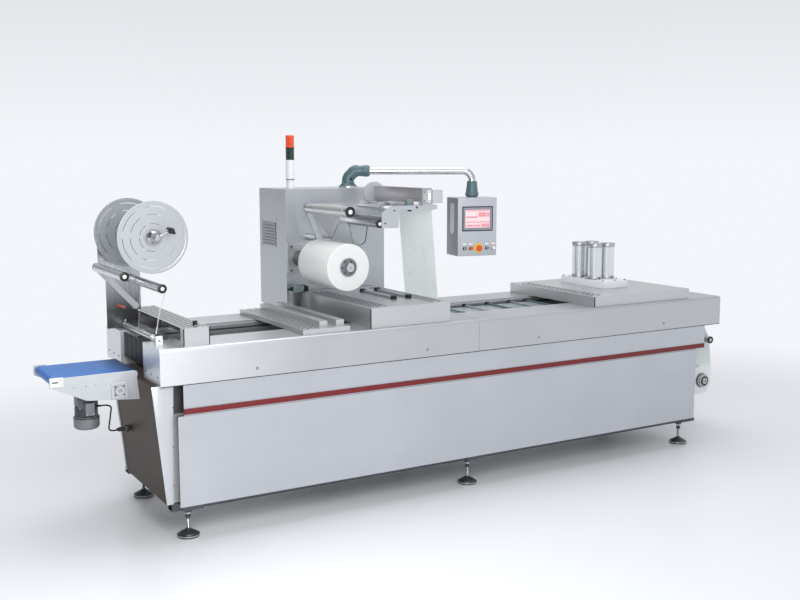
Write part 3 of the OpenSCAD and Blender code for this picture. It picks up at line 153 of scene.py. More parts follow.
# Shapes: each returns its points and its faces


def skin(rings, wrap=False):
    """Rings of points joined each to the next by four-sided faces. wrap joins the last ring to the first,
    and otherwise each end ring is closed by one face."""
    rings = np.asarray(rings, float)
    count, sides = rings.shape[:2]
    index = np.arange(count * sides).reshape(count, sides)
    lower = index if wrap else index[:-1]
    upper = np.roll(index, -1, axis=0) if wrap else index[1:]
    walls = np.stack([lower, np.roll(lower, -1, 1), np.roll(upper, -1, 1), upper], -1).reshape(-1, 4)
    faces = walls.tolist()
    if not wrap:
        faces += [index[0][::-1].tolist(), index[-1].tolist()]
    return rings.reshape(-1, 3), faces


def circle(radius, sides, start=0.0):
    """Points at radius times the cosine and sine of equal turns."""
    turn = start + np.arange(sides) * 2 * np.pi / sides
    return radius * np.stack([np.cos(turn), np.sin(turn)], -1)


def turned(at, profile, axis, sides, wrap=False):
    """A profile of distance along the axis and radius, carried round the axis through the point at:
    at + distance * axis + radius * (cosine of the turn, sine of the turn)."""
    profile = np.asarray(profile, float)
    along, first, second = AXES[axis] if isinstance(axis, str) else axis
    turn = circle(1.0, sides)
    round_part = turn[:, :1] * first + turn[:, 1:] * second
    rings = np.asarray(at, float) + profile[:, :1, None] * along + profile[:, 1:, None] * round_part
    return skin(rings, wrap)


def stepped(*pairs, edge=0.8):
    """A turned profile with each outer corner cut back by edge: pairs are (from, to, radius)."""
    rows = [(pairs[0][0], 0.2)]
    for low, high, radius in pairs:
        cut = min(edge, abs(high - low) / 3, radius / 3)
        rows += [(low, radius - cut), (low + cut, radius), (high - cut, radius), (high, radius - cut)]
    rows.append((pairs[-1][1], 0.2))
    return rows


def rod(at, low, high, radius, axis, sides, edge=0.8):
    """A plain round bar from low to high along the axis through a point."""
    return turned(at, stepped((low, high, radius), edge=edge), axis, sides)


def sleeve(at, low, high, inner, outer, axis, sides):
    """A tube between two radii from low to high along the axis through a point."""
    return turned(at, [(low, inner), (low, outer), (high, outer), (high, inner)], axis, sides, True)


def upright(outline, y):
    """The outline's points as x and z, all at one y."""
    return np.stack([outline[:, 0], np.full(len(outline), y), outline[:, 1]], -1)


def spots(radius, count, start=0.0, axis="z"):
    """Offsets equally spaced on a circle round the axis."""
    return np.insert(circle(radius, count, start), "xyz".index(axis), 0.0, axis=1)


def bar_round(start, end, radius, sides):
    """A round bar between two points."""
    start, end = np.asarray(start, float), np.asarray(end, float)
    reach = np.linalg.norm(end - start)
    along = (end - start) / reach
    helper = np.array([0.0, 0.0, 1.0]) if abs(along[2]) < 0.9 else np.array([1.0, 0.0, 0.0])
    first = np.cross(helper, along)
    first /= np.linalg.norm(first)
    return rod(start, 0, reach, radius, (along, first, np.cross(along, first)), sides)


def inward(outline, amount):
    """The outline moved in by amount along the mean of the two edge normals at each point, lengthened so
    that both edges move by the same amount."""
    ahead = np.roll(outline, -1, 0) - outline
    ahead = ahead / np.maximum(np.linalg.norm(ahead, axis=1, keepdims=True), 1e-9)
    left = np.stack([-ahead[:, 1], ahead[:, 0]], -1)
    both = left + np.roll(left, 1, 0)
    scale = 2.0 / np.maximum((both**2).sum(1, keepdims=True), 0.4)
    u, v = outline.T
    area = (u * np.roll(v, -1) - np.roll(u, -1) * v).sum()
    return outline + np.sign(area) * both * scale * amount


def rounded(points, radius, steps=4):
    """Each corner of the outline replaced by a curve (1-t)^2 a + 2t(1-t) corner + t^2 b between the points
    a radius before it and after it."""
    points = np.asarray(points, float)
    before, after = np.roll(points, 1, 0) - points, np.roll(points, -1, 0) - points
    before_len = np.linalg.norm(before, axis=1, keepdims=True)
    after_len = np.linalg.norm(after, axis=1, keepdims=True)
    radius = np.broadcast_to(np.asarray(radius, float).reshape(-1, 1), (len(points), 1))
    a = points + before / before_len * np.minimum(radius, before_len * 0.45)
    b = points + after / after_len * np.minimum(radius, after_len * 0.45)
    t = np.linspace(0, 1, steps)[None, :, None]
    curve = (1 - t) ** 2 * a[:, None] + 2 * t * (1 - t) * points[:, None] + t**2 * b[:, None]
    return curve.reshape(-1, 2)


def rectangle(low, high, radius, steps=4):
    """A rectangle between two corners with rounded corners."""
    corners = [(low[0], low[1]), (high[0], low[1]), (high[0], high[1]), (low[0], high[1])]
    return rounded(corners, radius, steps)


def slab(outline, low, high, axis="z", edge=0.8, steps=3):
    """The outline carried along the axis from low to high. At both ends it moves in by edge * (1 - sine)
    as it goes the last edge * (1 - cosine)."""
    along, first, second = AXES[axis]
    turn = np.linspace(0, np.pi / 2, steps)
    inset = edge * (1 - np.sin(turn))
    rise = edge * (1 - np.cos(turn))
    levels = np.concatenate([low + rise, (high - rise)[::-1]])
    insets = np.concatenate([inset, inset[::-1]])
    flat = np.stack([inward(outline, amount) for amount in insets])
    rings = levels[:, None, None] * along + flat[..., :1] * first + flat[..., 1:] * second
    return skin(rings)


def box(low, high, edge, corner, axis="z"):
    """A rectangular block with rounded edges."""
    low, high = np.asarray(low, float), np.asarray(high, float)
    a, b, c = {"x": (1, 2, 0), "y": (2, 0, 1), "z": (0, 1, 2)}[axis]
    return slab(rectangle((low[a], low[b]), (high[a], high[b]), corner, 3), low[c], high[c], axis, edge)


def swept(path, section):
    """The section carried along the path, across the direction from the point before to the point after.
    Its first axis is level where the path isn't upright."""
    path = np.asarray(path, float)
    ahead = np.gradient(path, axis=0)
    ahead /= np.linalg.norm(ahead, axis=1, keepdims=True)
    helper = np.array([0.13, 0.21, 0.97])
    first = np.cross(ahead, helper)
    first /= np.linalg.norm(first, axis=1, keepdims=True)
    second = np.cross(first, ahead)
    u, v = np.asarray(section, float).T[..., None]
    return skin(path[:, None] + u * first[:, None] + v * second[:, None])


def smooth_path(points, per_span):
    """The curve through the points: half of 2 b + (c - a) t + (2 a - 5 b + 4 c - d) t^2
    + (3 b - a - 3 c + d) t^3 between b and c, where a and d are their neighbours."""
    points = np.asarray(points, float)
    padded = np.vstack([2 * points[0] - points[1], points, 2 * points[-1] - points[-2]])
    a, b, c, d = (padded[i : len(points) - 1 + i, None] for i in range(4))
    t = (np.arange(per_span) / per_span)[None, :, None]
    cubic = (3 * b - a - 3 * c + d) * t**3
    curve = 0.5 * (2 * b + (c - a) * t + (2 * a - 5 * b + 4 * c - d) * t**2 + cubic)
    return np.vstack([curve.reshape(-1, 3), points[-1]])


def many(shape, offsets):
    """The shape repeated at every offset."""
    points, faces = shape
    offsets = np.asarray(offsets, float)
    all_points = (points[None] + offsets[:, None]).reshape(-1, 3)
    shift = len(points)
    return all_points, [[v + i * shift for v in face] for i in range(len(offsets)) for face in faces]


def turned_about(shape, centre, axis, degrees):
    """The shape turned about an axis through a point."""
    points, faces = shape
    along, first, second = AXES[axis]
    turn = np.radians(degrees)
    rel = points - np.asarray(centre, float)
    u, v, w = rel @ first, rel @ second, rel @ along
    c, s = np.cos(turn), np.sin(turn)
    moved = np.outer(u * c - v * s, first) + np.outer(u * s + v * c, second) + np.outer(w, along)
    return moved + np.asarray(centre, float), faces


def bolt(at, axis, way, radius, height, sides=18):
    """A button head with a hexagon socket: a domed profile round its axis, and a hollow in its top."""
    shares = ((0, 1), (0.35, 1), (0.8, 0.82), (1, 0.55), (1, 0.42), (0.45, 0.4))
    rows = [(way * rise * height, share * radius) for rise, share in shares]
    return turned(at, [(0, 0.2), *rows, (way * 0.45 * height, 0.2)], axis, sides)


def hex_nut(at, low, high, across, axis="z"):
    """A six-sided outline carried along its axis with its corners cut back."""
    points, faces = slab(circle(across / 2, 6), low, high, axis, 1.2, 2)
    return points + np.asarray(at, float), faces


# Finishes: node materials that read object coordinates


def put(tree, kind, **inputs):
    """A new node with its inputs set, where an underscore stands for a space."""
    node = tree.nodes.new(kind)
    for key, value in inputs.items():
        node.inputs[key.replace("_", " ")].default_value = value
    return node


def ranged(tree, source, *limits):
    """The source mapped from one range to another: from low, from high, to low and to high."""
    node = put(tree, "ShaderNodeMapRange")
    for key, value in zip(("From Min", "From Max", "To Min", "To Max"), limits):
        node.inputs[key].default_value = value
    tree.links.new(source, node.inputs["Value"])
    return node.outputs["Result"]


def mixed(tree, first, second):
    """A colour mix node and its two colours, which are multiplied where they are links."""
    node = put(tree, "ShaderNodeMix")
    node.data_type = "RGBA"
    for key, value in (("A", first), ("B", second)):
        if isinstance(value, bpy.types.NodeSocket):
            node.blend_type = "MULTIPLY"
            node.inputs["Factor"].default_value = 1.0
            tree.links.new(value, node.inputs[key])
        else:
            node.inputs[key].default_value = value
    return node


def finish(
    name,
    colour,
    metallic,
    roughness,
    stretch,
    grain,
    tint,
    cloud,
    swing,
    bump,
    depth,
    coat=0.0,
    alpha=1.0,
    glow=0.0,
    rings=None,
    fade=None,
    specular=0.5,
):
    """A finish with a fine grain and slow clouds. grain is the number of marks in a metre before stretch,
    tint and cloud are the shares by which grain and clouds change the colour, swing what the grain adds to
    the roughness or takes from it, bump and depth its relief, the depth in millimetres. rings is the
    centre of fine rings on a roll's end, or nothing. fade is an axis, the place along it where the colour
    is multiplied by a share, the place where it is whole again, and that share, or nothing."""
    material = bpy.data.materials.get(name)
    if material:
        return material
    material = bpy.data.materials.new(name)
    material.use_nodes = True
    tree = material.node_tree
    link = tree.links.new
    shader = tree.nodes["Principled BSDF"]
    for key, value in (
        ("Metallic", metallic),
        ("Coat Weight", coat),
        ("Coat Roughness", 0.12),
        ("Alpha", alpha),
        ("Specular IOR Level", specular),
    ):
        shader.inputs[key].default_value = value
    where = put(tree, "ShaderNodeTexCoord").outputs["Object"]
    mapping = put(tree, "ShaderNodeMapping", Scale=stretch)
    link(where, mapping.inputs["Vector"])
    fine = put(tree, "ShaderNodeTexNoise", Scale=grain, Detail=5.0, Roughness=0.62)
    link(mapping.outputs["Vector"], fine.inputs["Vector"])
    fine = fine.outputs["Fac"]
    slow = put(tree, "ShaderNodeTexNoise", Scale=2.3, Detail=3.0, Roughness=0.55)
    link(where, slow.inputs["Vector"])
    colour = np.array(colour[:3])
    dark, light = (np.clip(colour * share, 0, 1) for share in (1 - tint, 1 + tint))
    shade = mixed(tree, (*dark, 1), (*light, 1))
    link(fine, shade.inputs["Factor"])
    spread = ranged(tree, slow.outputs["Fac"], 0.3, 0.7, 1 - cloud, 1.0)
    seen = mixed(tree, shade.outputs["Result"], spread).outputs["Result"]
    if fade:
        place = put(tree, "ShaderNodeSeparateXYZ")
        link(where, place.inputs["Vector"])
        seen = mixed(tree, seen, ranged(tree, place.outputs[fade[0]], *fade[1:])).outputs["Result"]
    link(seen, shader.inputs["Base Color"])
    rough = ranged(tree, fine, 0.25, 0.75, max(0.02, roughness - swing), min(1.0, roughness + swing))
    link(rough, shader.inputs["Roughness"])
    relief = put(tree, "ShaderNodeBump", Strength=bump, Distance=depth / MM)
    link(fine, relief.inputs["Height"])
    if rings:
        centred = put(tree, "ShaderNodeMapping", Location=[-place for place in rings])
        link(where, centred.inputs["Vector"])
        wave = put(tree, "ShaderNodeTexWave", Scale=34.0, Distortion=0.6, Detail=2.0)
        wave.wave_type = "RINGS"
        wave.rings_direction = "Y"
        link(centred.outputs["Vector"], wave.inputs["Vector"])
        grooves = put(tree, "ShaderNodeBump", Strength=0.25, Distance=0.0004)
        link(wave.outputs["Fac"], grooves.inputs["Height"])
        link(relief.outputs["Normal"], grooves.inputs["Normal"])
        relief = grooves
    link(relief.outputs["Normal"], shader.inputs["Normal"])
    # Glow: the screen, its bars and the red lamp give light; on the film web it is painted light.
    if glow:
        link(seen, shader.inputs["Emission Color"])
        shader.inputs["Emission Strength"].default_value = glow
    return material


def brushed(name, along, colour=None, fade=None):
    """Stainless sheet brushed along one axis: noise stretched so that a mark is long one way and as wide as
    the brush pitch the other ways."""
    stretch = np.full(3, 1.0 / bpy.context.scene.packer_sizes.brush)
    stretch["xyz".index(along)] = 1.5
    colour = colour or bpy.context.scene.packer_colours.sheet
    return finish(name, colour, 0.72, 0.36, tuple(stretch), 1.0, 0.05, 0.07, 0.07, 0.10, 0.12, fade=fade)


EVEN, LOOSE, UPRIGHT, CROSSWISE = (1, 1, 1), (2, 2, 2), (250, 250, 2), (250, 2, 250)

# Key, name, colour of the panel or red, green and blue, then finish's numbers in their order
FINISHES = (
    ("machined", "Machined steel", "machined", 0.95, 0.24, EVEN, 220, 0.05, 0.04, 0.07, 0.05, 0.1),
    ("roller", "Ground roller", (212, 213, 215), 0.9, 0.26, (400, 2, 400), 1, 0.06, 0.05, 0.07, 0.08, 0.1),
    ("chrome", "Chrome", (205, 207, 210), 1.0, 0.12, EVEN, 90, 0.03, 0.03, 0.04, 0.02, 0.1),
    ("end_panel", "Reflective end panel", "end_panel", 0.3, 0.48, (300, 300, 1.5), 1, 0.06, 0.2, 0.05, 0.08,
     0.1),
    ("stripe", "Stripe paint", "stripe", 0.0, 0.44, EVEN, 180, 0.05, 0.06, 0.06, 0.05, 0.1, 0.1),
    ("belt", "Belt", "belt", 0.0, 0.46, EVEN, 700, 0.08, 0.08, 0.08, 0.25, 0.2),
    ("casting", "Casting paint", "casting", 0.05, 0.42, EVEN, 420, 0.07, 0.08, 0.08, 0.22, 0.3, 0.1),
    ("motor", "Motor paint", "motor", 0.25, 0.40, EVEN, 380, 0.08, 0.08, 0.08, 0.2, 0.3),
    ("motor_light", "Motor cover paint", (122, 125, 128), 0.2, 0.38, EVEN, 380, 0.06, 0.06, 0.08, 0.15, 0.3),
    ("dark", "Dark plastic", "dark", 0.0, 0.42, EVEN, 260, 0.15, 0.1, 0.1, 0.12, 0.2),
    ("rubber", "Cable rubber", "dark", 0.0, 0.55, EVEN, 500, 0.2, 0.1, 0.08, 0.2, 0.2),
    # Hole shade: a dark finish that reflects nothing, for plugs set in the covers' holes: painted shade
    # inside them.
    ("hole", "Hole", (12, 12, 13), 0.0, 0.9, EVEN, 200, 0.1, 0.1, 0.05, 0.05, 0.2),
    ("shade", "Shaded liner", (46, 48, 52), 0.0, 0.6, EVEN, 120, 0.1, 0.1, 0.05, 0.05, 0.2),
    ("pipe", "Polished pipe", (206, 208, 211), 0.95, 0.2, LOOSE, 120, 0.04, 0.05, 0.06, 0.04, 0.1),
    ("panel_paint", "Panel paint", (196, 199, 205), 0.35, 0.38, EVEN, 300, 0.04, 0.05, 0.07, 0.08, 0.2),
    # A darker copy of the panel paint for the box's left side: painted shade.
    ("panel_side", "Panel side paint", (143, 146, 151), 0.35, 0.38, EVEN, 300, 0.04, 0.05, 0.07, 0.08, 0.2),
    ("film_roll", "Film roll upper", (240, 243, 241), 0.0, 0.4, EVEN, 160, 0.01, 0.02, 0.06, 0.05, 0.2, 0.1),
    ("film_low", "Film roll lower", "film", 0.0, 0.34, EVEN, 160, 0.02, 0.03, 0.06, 0.05, 0.2, 0.25),
    ("web_metal", "Film web taut", (206, 206, 206), 0.55, 0.2, LOOSE, 2.5, 0.05, 0.1, 0.06, 0.25, 3, 0.3),
    # The film web glows at 0.32 of its colour: painted light on the film.
    ("web", "Film web", "web", 0.0, 0.3, LOOSE, 3, 0.02, 0.03, 0.08, 0.1, 2, 0.2, 0.95, 0.32),
    ("web_clear", "Clear web", (205, 208, 210), 0.1, 0.16, LOOSE, 3, 0.04, 0.06, 0.06, 0.2, 3, 0.3, 0.34),
    ("scrap", "Trim strip", (236, 238, 238), 0.0, 0.3, EVEN, 300, 0.03, 0.04, 0.06, 0.08, 0.2, 0.3, 0.85),
    ("pocket", "Formed film", (196, 208, 212), 0.0, 0.14, EVEN, 40, 0.05, 0.06, 0.06, 0.1, 1, 0.4, 0.72),
    ("plastic", "White plastic", "plastic", 0.0, 0.38, EVEN, 240, 0.03, 0.04, 0.07, 0.08, 0.2, 0.1),
    ("reel", "Reel disc", "reel", 0.35, 0.36, EVEN, 160, 0.04, 0.06, 0.07, 0.08, 0.2, 0.1),
    # A darker copy of the reel disc finish for the rear disc: painted shade.
    ("reel_back", "Rear reel disc", (154, 158, 163), 0.35, 0.36, EVEN, 160, 0.04, 0.06, 0.07, 0.08, 0.2, 0.1),
    ("aluminium", "Tool aluminium", (190, 192, 196), 0.8, 0.36, CROSSWISE, 1, 0.06, 0.05, 0.07, 0.08, 0.1),
    ("steel_dark", "Dark steel", (88, 91, 95), 0.7, 0.4, EVEN, 200, 0.1, 0.1, 0.1, 0.12, 0.2),
    ("glass", "Cylinder tube", (224, 227, 231), 0.75, 0.2, (60, 60, 1), 1, 0.1, 0.03, 0.04, 0.1, 0.2, 0.3),
    ("plate", "Rewinder sheet", "sheet", 0.72, 0.3, UPRIGHT, 1, 0.05, 0.07, 0.06, 0.08, 0.1),
    ("jamb", "Shaded steel", (214, 215, 217), 0.5, 0.34, UPRIGHT, 1, 0.05, 0.1, 0.06, 0.08, 0.1),
    ("sheet_light", "Pale sheet", (200, 203, 207), 0.45, 0.36, UPRIGHT, 1, 0.04, 0.05, 0.06, 0.08, 0.1),
    ("screen", "Lit screen", "screen", 0.0, 0.2, EVEN, 120, 0.04, 0.05, 0.05, 0.02, 0.1, 0.3, 1.0, 0.25),
    ("screen_bar", "Screen bars", (224, 148, 158), 0.0, 0.2, EVEN, 120, 0.05, 0.05, 0.05, 0.02, 0.1, 0.3, 1.0,
     0.2),
    ("bezel", "Bezel", (40, 43, 50), 0.1, 0.3, EVEN, 240, 0.08, 0.05, 0.08, 0.08, 0.2, 0.15),
    ("bezel_light", "Bezel face", (150, 154, 164), 0.2, 0.3, EVEN, 240, 0.05, 0.05, 0.07, 0.08, 0.2, 0.1),
    ("stop", "Stop red", "stop", 0.0, 0.3, EVEN, 200, 0.05, 0.05, 0.06, 0.05, 0.2, 0.4),
    ("ring", "Ring yellow", "ring", 0.0, 0.36, EVEN, 200, 0.05, 0.05, 0.06, 0.05, 0.2, 0.2),
    ("white", "Button white", (236, 236, 234), 0.0, 0.3, EVEN, 200, 0.03, 0.04, 0.06, 0.04, 0.2, 0.3),
    ("lamp_red", "Lamp red", (226, 76, 40), 0.0, 0.22, (1, 1, 30), 20, 0.3, 0.05, 0.06, 0.2, 0.6, 0.4, 1.0,
     0.15),
    ("lamp_green", "Lamp green", (20, 58, 46), 0.0, 0.22, (1, 1, 30), 20, 0.12, 0.05, 0.06, 0.2, 0.6, 0.4),
    ("orange", "Warning paint", (214, 92, 62), 0.0, 0.4, EVEN, 200, 0.06, 0.05, 0.06, 0.05, 0.2),
    ("hose", "Hose", (36, 48, 62), 0.0, 0.35, EVEN, 300, 0.1, 0.1, 0.08, 0.1, 0.2, 0.2),
    ("actuator", "Actuator paint", (126, 140, 138), 0.1, 0.4, EVEN, 300, 0.06, 0.08, 0.08, 0.15, 0.2),
    ("printer", "Printer sheet", (176, 174, 178), 0.55, 0.34, (2, 300, 300), 1, 0.06, 0.08, 0.06, 0.08, 0.1),
)
EXTRAS = {
    # Painted shade: the end panel darkens towards the floor, to 0.62 of its colour at 0.2 m.
    "end_panel": {"fade": ("Z", 0.2, 0.8, 0.62), "specular": 0.3},
    # Painted shade: the belt darkens to a quarter of its colour at its inner end, by the machine.
    "belt": {"fade": ("X", -1.87, -2.0, 0.25)},
    "rubber": {"specular": 0.2},
    "hole": {"specular": 0.0},
    "film_roll": {"rings": tuple(row(UPPER_ROLL)), "fade": ("Y", -0.3905, -0.385, 0.8)},
    "film_low": {"rings": tuple(row(LOWER_ROLL))},
    # Painted shade: the rewinder plate darkens to 0.15 of its colour below 1.1 m.
    "plate": {"fade": ("Z", 1.10, 1.30, 0.15)},
    # Painted shade: the jamb darkens to 0.12 of its colour above 0.662 m.
    "jamb": {"fade": ("Z", 0.662, 0.650, 0.12)},
}


def palette():
    """Every finish by its key, made from the colours of the panel."""
    tones = bpy.context.scene.packer_colours
    made = {
        "sheet": brushed("Brushed sheet", "x"),
        "sheet_across": brushed("Brushed sheet across", "y"),
        "sheet_up": brushed("Brushed sheet upright", "z"),
        # The rail's colour is whole at its outfeed end and falls to 0.68 of it about 0.8 m in: a painted
        # highlight on that end.
        "rail": brushed("Rail sheet", "x", linear(230, 232, 235), ("X", -1.0, -1.83, 0.68)),
        "cover": brushed("Cover sheet", "y", linear(202, 203, 205)),
    }
    for key, name, colour, *numbers in FINISHES:
        colour = getattr(tones, colour) if isinstance(colour, str) else linear(*colour)
        made[key] = finish(name, colour, *numbers, **EXTRAS.get(key, {}))
    return made


# Making pieces


def placed(name, mesh, node, body):
    """A piece of the mesh, riding its body in place of a node of the CAD. A piece with no body is left
    without a parent."""
    mesh.polygons.foreach_set("use_smooth", [True] * len(mesh.polygons))
    mesh.set_sharp_from_angle(angle=SHARP)
    piece = bpy.data.objects.new(name, mesh)
    bpy.context.scene.collection.objects.link(piece)
    if body:
        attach(piece, body)
    if node:
        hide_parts(node)
    return piece


def finished(name, parts, node=None, body="machine"):
    """Joins parts, each a shape and the name of its finish, into one piece at its place. Outward sides are
    worked out afresh for every closed shell."""
    finishes = palette()
    used = list(dict.fromkeys(label for _, label in parts))
    points, faces, marks, count = [], [], [], 0
    for shape, label in parts:
        points.append(shape[0])
        faces += [[v + count for v in face] for face in shape[1]]
        marks += [used.index(label)] * len(shape[1])
        count += len(shape[0])
    mesh = bpy.data.meshes.new(name)
    mesh.from_pydata(row(np.vstack(points)).tolist(), [], faces)
    for label in used:
        mesh.materials.append(finishes[label])
    mesh.polygons.foreach_set("material_index", marks)
    work = bmesh.new()
    work.from_mesh(mesh)
    bmesh.ops.recalc_face_normals(work, faces=work.faces)
    work.to_mesh(mesh)
    work.free()
    return placed(name, mesh, node, body)


def rounded_copy(node, name, label, share=1.0, body="machine", angle=40):
    """A copy of a node's mesh with its doubles merged and its flat faces joined. Edges sharper than the
    angle are rounded by a share of the panel's edge size."""
    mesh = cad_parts[node].data.copy()
    mesh.name = name
    work = bmesh.new()
    work.from_mesh(mesh)
    bmesh.ops.remove_doubles(work, verts=work.verts, dist=1e-5)
    bmesh.ops.dissolve_limit(work, angle_limit=np.radians(0.5), verts=work.verts, edges=work.edges)
    work.to_mesh(mesh)
    work.free()
    dress(mesh, label)
    mesh.polygons.foreach_set("material_index", [0] * len(mesh.polygons))
    piece = placed(name, mesh, node, body)
    bevel = piece.modifiers.new("edges", "BEVEL")
    bevel.width = share * bpy.context.scene.packer_sizes.edge
    bevel.segments = 2
    bevel.limit_method = "ANGLE"
    bevel.angle_limit = np.radians(angle)
    bevel.harden_normals = True
    return piece


def dress(mesh, label):
    """Gives a mesh one finish in place of those it has."""
    mesh.materials.clear()
    mesh.materials.append(palette()[label])


def face_rows(mesh, key):
    """The centre or the normal of every face, as rows of three."""
    values = np.empty(len(mesh.polygons) * 3)
    mesh.polygons.foreach_get(key, values)
    return values.reshape(-1, 3)


def centres_of(mesh):
    """The centre of every face in machine millimetres: metres times a thousand plus the middle."""
    return face_rows(mesh, "center") * MM + MIDDLE


def repaint(mesh, labels, marks):
    """Adds finishes to a mesh. A face's mark is 0 for the finish it has and 1 for the first new one."""
    for label in labels:
        mesh.materials.append(palette()[label])
    mesh.polygons.foreach_set("material_index", marks.astype(int).tolist())


class Maker:
    """What every operator here shares"""

    bl_options = {"REGISTER", "UNDO"}


# Camera and cords come first


class PACKER_OT_camera(Maker, bpy.types.Operator):
    """Sets the camera where the photograph was taken"""

    bl_idname = "packer.camera"
    bl_label = "Camera"

    def execute(self, context):
        data = bpy.data.cameras.new("Camera")
        data.sensor_width = 36.0
        data.sensor_fit = "HORIZONTAL"
        data.lens = 47.295
        data.clip_end = 200.0
        camera = bpy.data.objects.new("Camera", data)
        camera.location = (-3.4072, -5.59965, 1.9426)
        camera.rotation_euler = np.radians([82.15, 0.0, -30.8])
        context.scene.collection.objects.link(camera)
        context.scene.camera = camera
        return {"FINISHED"}


CABLE_ROUTE = row([
    [-226, -132, 680], [-204, -132, 680], [-182, -131, 679], [-163, -124, 673], [-149, -111, 661],
    [-144, -96, 647], [-141, -79, 633], [-139, -63, 618], [-136, -47, 604], [-133, -31, 589],
    [-130, -15, 575], [-128, 2, 560], [-125, 18, 546], [-122, 34, 531], [-120, 50, 517],
    [-116, 66, 503], [-106, 81, 490], [-89, 92, 482], [-68, 96, 481], [-46, 96, 483],
])
HOSE_ROUTE = row([
    [1372, 444, 1438], [1372, 419, 1438], [1372, 394, 1438], [1372, 370, 1439], [1375, 348, 1449],
    [1379, 336, 1470], [1385, 329, 1494], [1393, 323, 1516], [1411, 319, 1531], [1436, 318, 1534],
    [1459, 318, 1527], [1474, 318, 1508], [1479, 318, 1484], [1484, 317, 1459], [1488, 317, 1435],
    [1495, 317, 1411], [1513, 316, 1395], [1538, 315, 1391], [1562, 314, 1396], [1579, 312, 1413],
    [1584, 310, 1437], [1586, 308, 1462], [1589, 305, 1486], [1591, 303, 1511], [1593, 301, 1536],
    [1597, 298, 1560], [1609, 294, 1581], [1631, 289, 1590], [1654, 284, 1597], [1669, 281, 1616],
    [1672, 280, 1640], [1672, 280, 1665],
])


class PACKER_OT_cords(Maker, bpy.types.Operator):
    """Runs the motor cable and the air hose along their routes"""

    bl_idname = "packer.cords"
    bl_label = "Cable and hose"

    def execute(self, context):
        sizes = context.scene.packer_sizes
        for name, node, route, width, label, lay in (
            ("motor_lead", "motor_cable", CABLE_ROUTE, sizes.cable, "rubber", "hanging"),
            ("air_line", "air_hose", HOSE_ROUTE, sizes.hose, "hose", "loose"),
        ):
            path = smooth_path(route, 6)
            tube = swept(path * MM + MIDDLE, circle(width * MM / 2, 14))
            piece = finished(name, [(tube, label)], node)
        return {"FINISHED"}


# Body of the machine


class PACKER_OT_rails(Maker, bpy.types.Operator):
    """Rounds the edges of the rails and lays their seams, a strip of painted shadow under each rail, and
    their screws
    """

    bl_idname = "packer.rails"
    bl_label = "Rails"

    def execute(self, context):
        rounded_copy("front_rail", "rail_front", "rail", 1.5)
        rounded_copy("rear_rail", "rail_rear", "rail", 1.5)
        half = context.scene.packer_sizes.seam * MM / 2
        seams_and_shadow = []
        for side in (-1, 1):
            out = side * RAIL_FACE
            low, high = sorted((out - side * 1.0, out + side * 0.15))
            seams_and_shadow.append((box((SEAM_X - half, low, 816), (SEAM_X + half, high, 980), 0.05, 0.2), "dark"))
            # A dark strip along the rail's lower edge: painted shadow of the rail on the skirt below.
            low, high = sorted((out, out - side * 6.0))
            seams_and_shadow.append((box((2, low, 811.6), (RAIL_LENGTH - 2, high, 814.9), 0.05, 0.2, "x"), "dark"))
        seams_and_shadow.append((box((SEAM_X - half, -452, 999), (SEAM_X + half, -201, 1000.15), 0.05, 0.2), "dark"))
        finished("rail_seams", seams_and_shadow)
        heads = []
        for share in (0.132, 0.398, 0.602, 0.867):
            for side in (-1, 1):
                at = (share * RAIL_LENGTH, side * RAIL_FACE, SCREW_Z)
                heads.append((bolt(at, "y", side, 5.4, 2.9), "machined"))
                heads.append((bolt(at, "y", side, 7.4, 1.0), "dark"))
        for share in (0.15, 0.5, 0.85):
            for side in (-1, 1):
                at = (0, side * (200 + share * 271), SCREW_Z)
                heads.append((bolt(at, "x", -1, 4.5, 3), "steel_dark"))
        finished("rail_screws", heads, "panel_screws")
        return {"FINISHED"}


class PACKER_OT_skirts(Maker, bpy.types.Operator):
    """Rounds the skirts, the red trims and the end panels"""

    bl_idname = "packer.skirts"
    bl_label = "Skirts and end panels"

    def execute(self, context):
        rounded_copy("upper_skirts", "skirts_upper", "sheet", 0.75)
        rounded_copy("lower_skirts", "skirts_lower", "sheet", 0.75)
        rounded_copy("red_trims", "trims_red", "stripe", 0.75)
        end = rounded_copy("end_panels", "panels_end", "end_panel", 0.625)
        centres = centres_of(end.data)
        infeed = centres[:, 0] > MIDDLE[0]
        # The jamb faces take the shaded steel finish, dark in their upper part: painted shade.
        jamb = (centres[:, 0] < 200.0) & (centres[:, 1] < -403.0) & (centres[:, 1] > -413.0)
        repaint(end.data, ("sheet_up", "jamb"), infeed + 2 * (jamb & ~infeed))
        folded = rounded([(-38.2, 814.5), (23.8, 203.5), (58.2, 203.5), (73.2, 814.5)], 0.4)[:, ::-1]
        strips = [(slab(folded, low, low + 3.6, "y", 0.3), "sheet_light") for low in (-443.4, 262.8)]
        for z in (300, 500, 700):
            strips.append((bolt((70 - 0.02 * (800 - z), -443.4, z), "y", -1, 3.2, 1.6, 12), "steel_dark"))
        finished("panel_strips", strips)
        return {"FINISHED"}


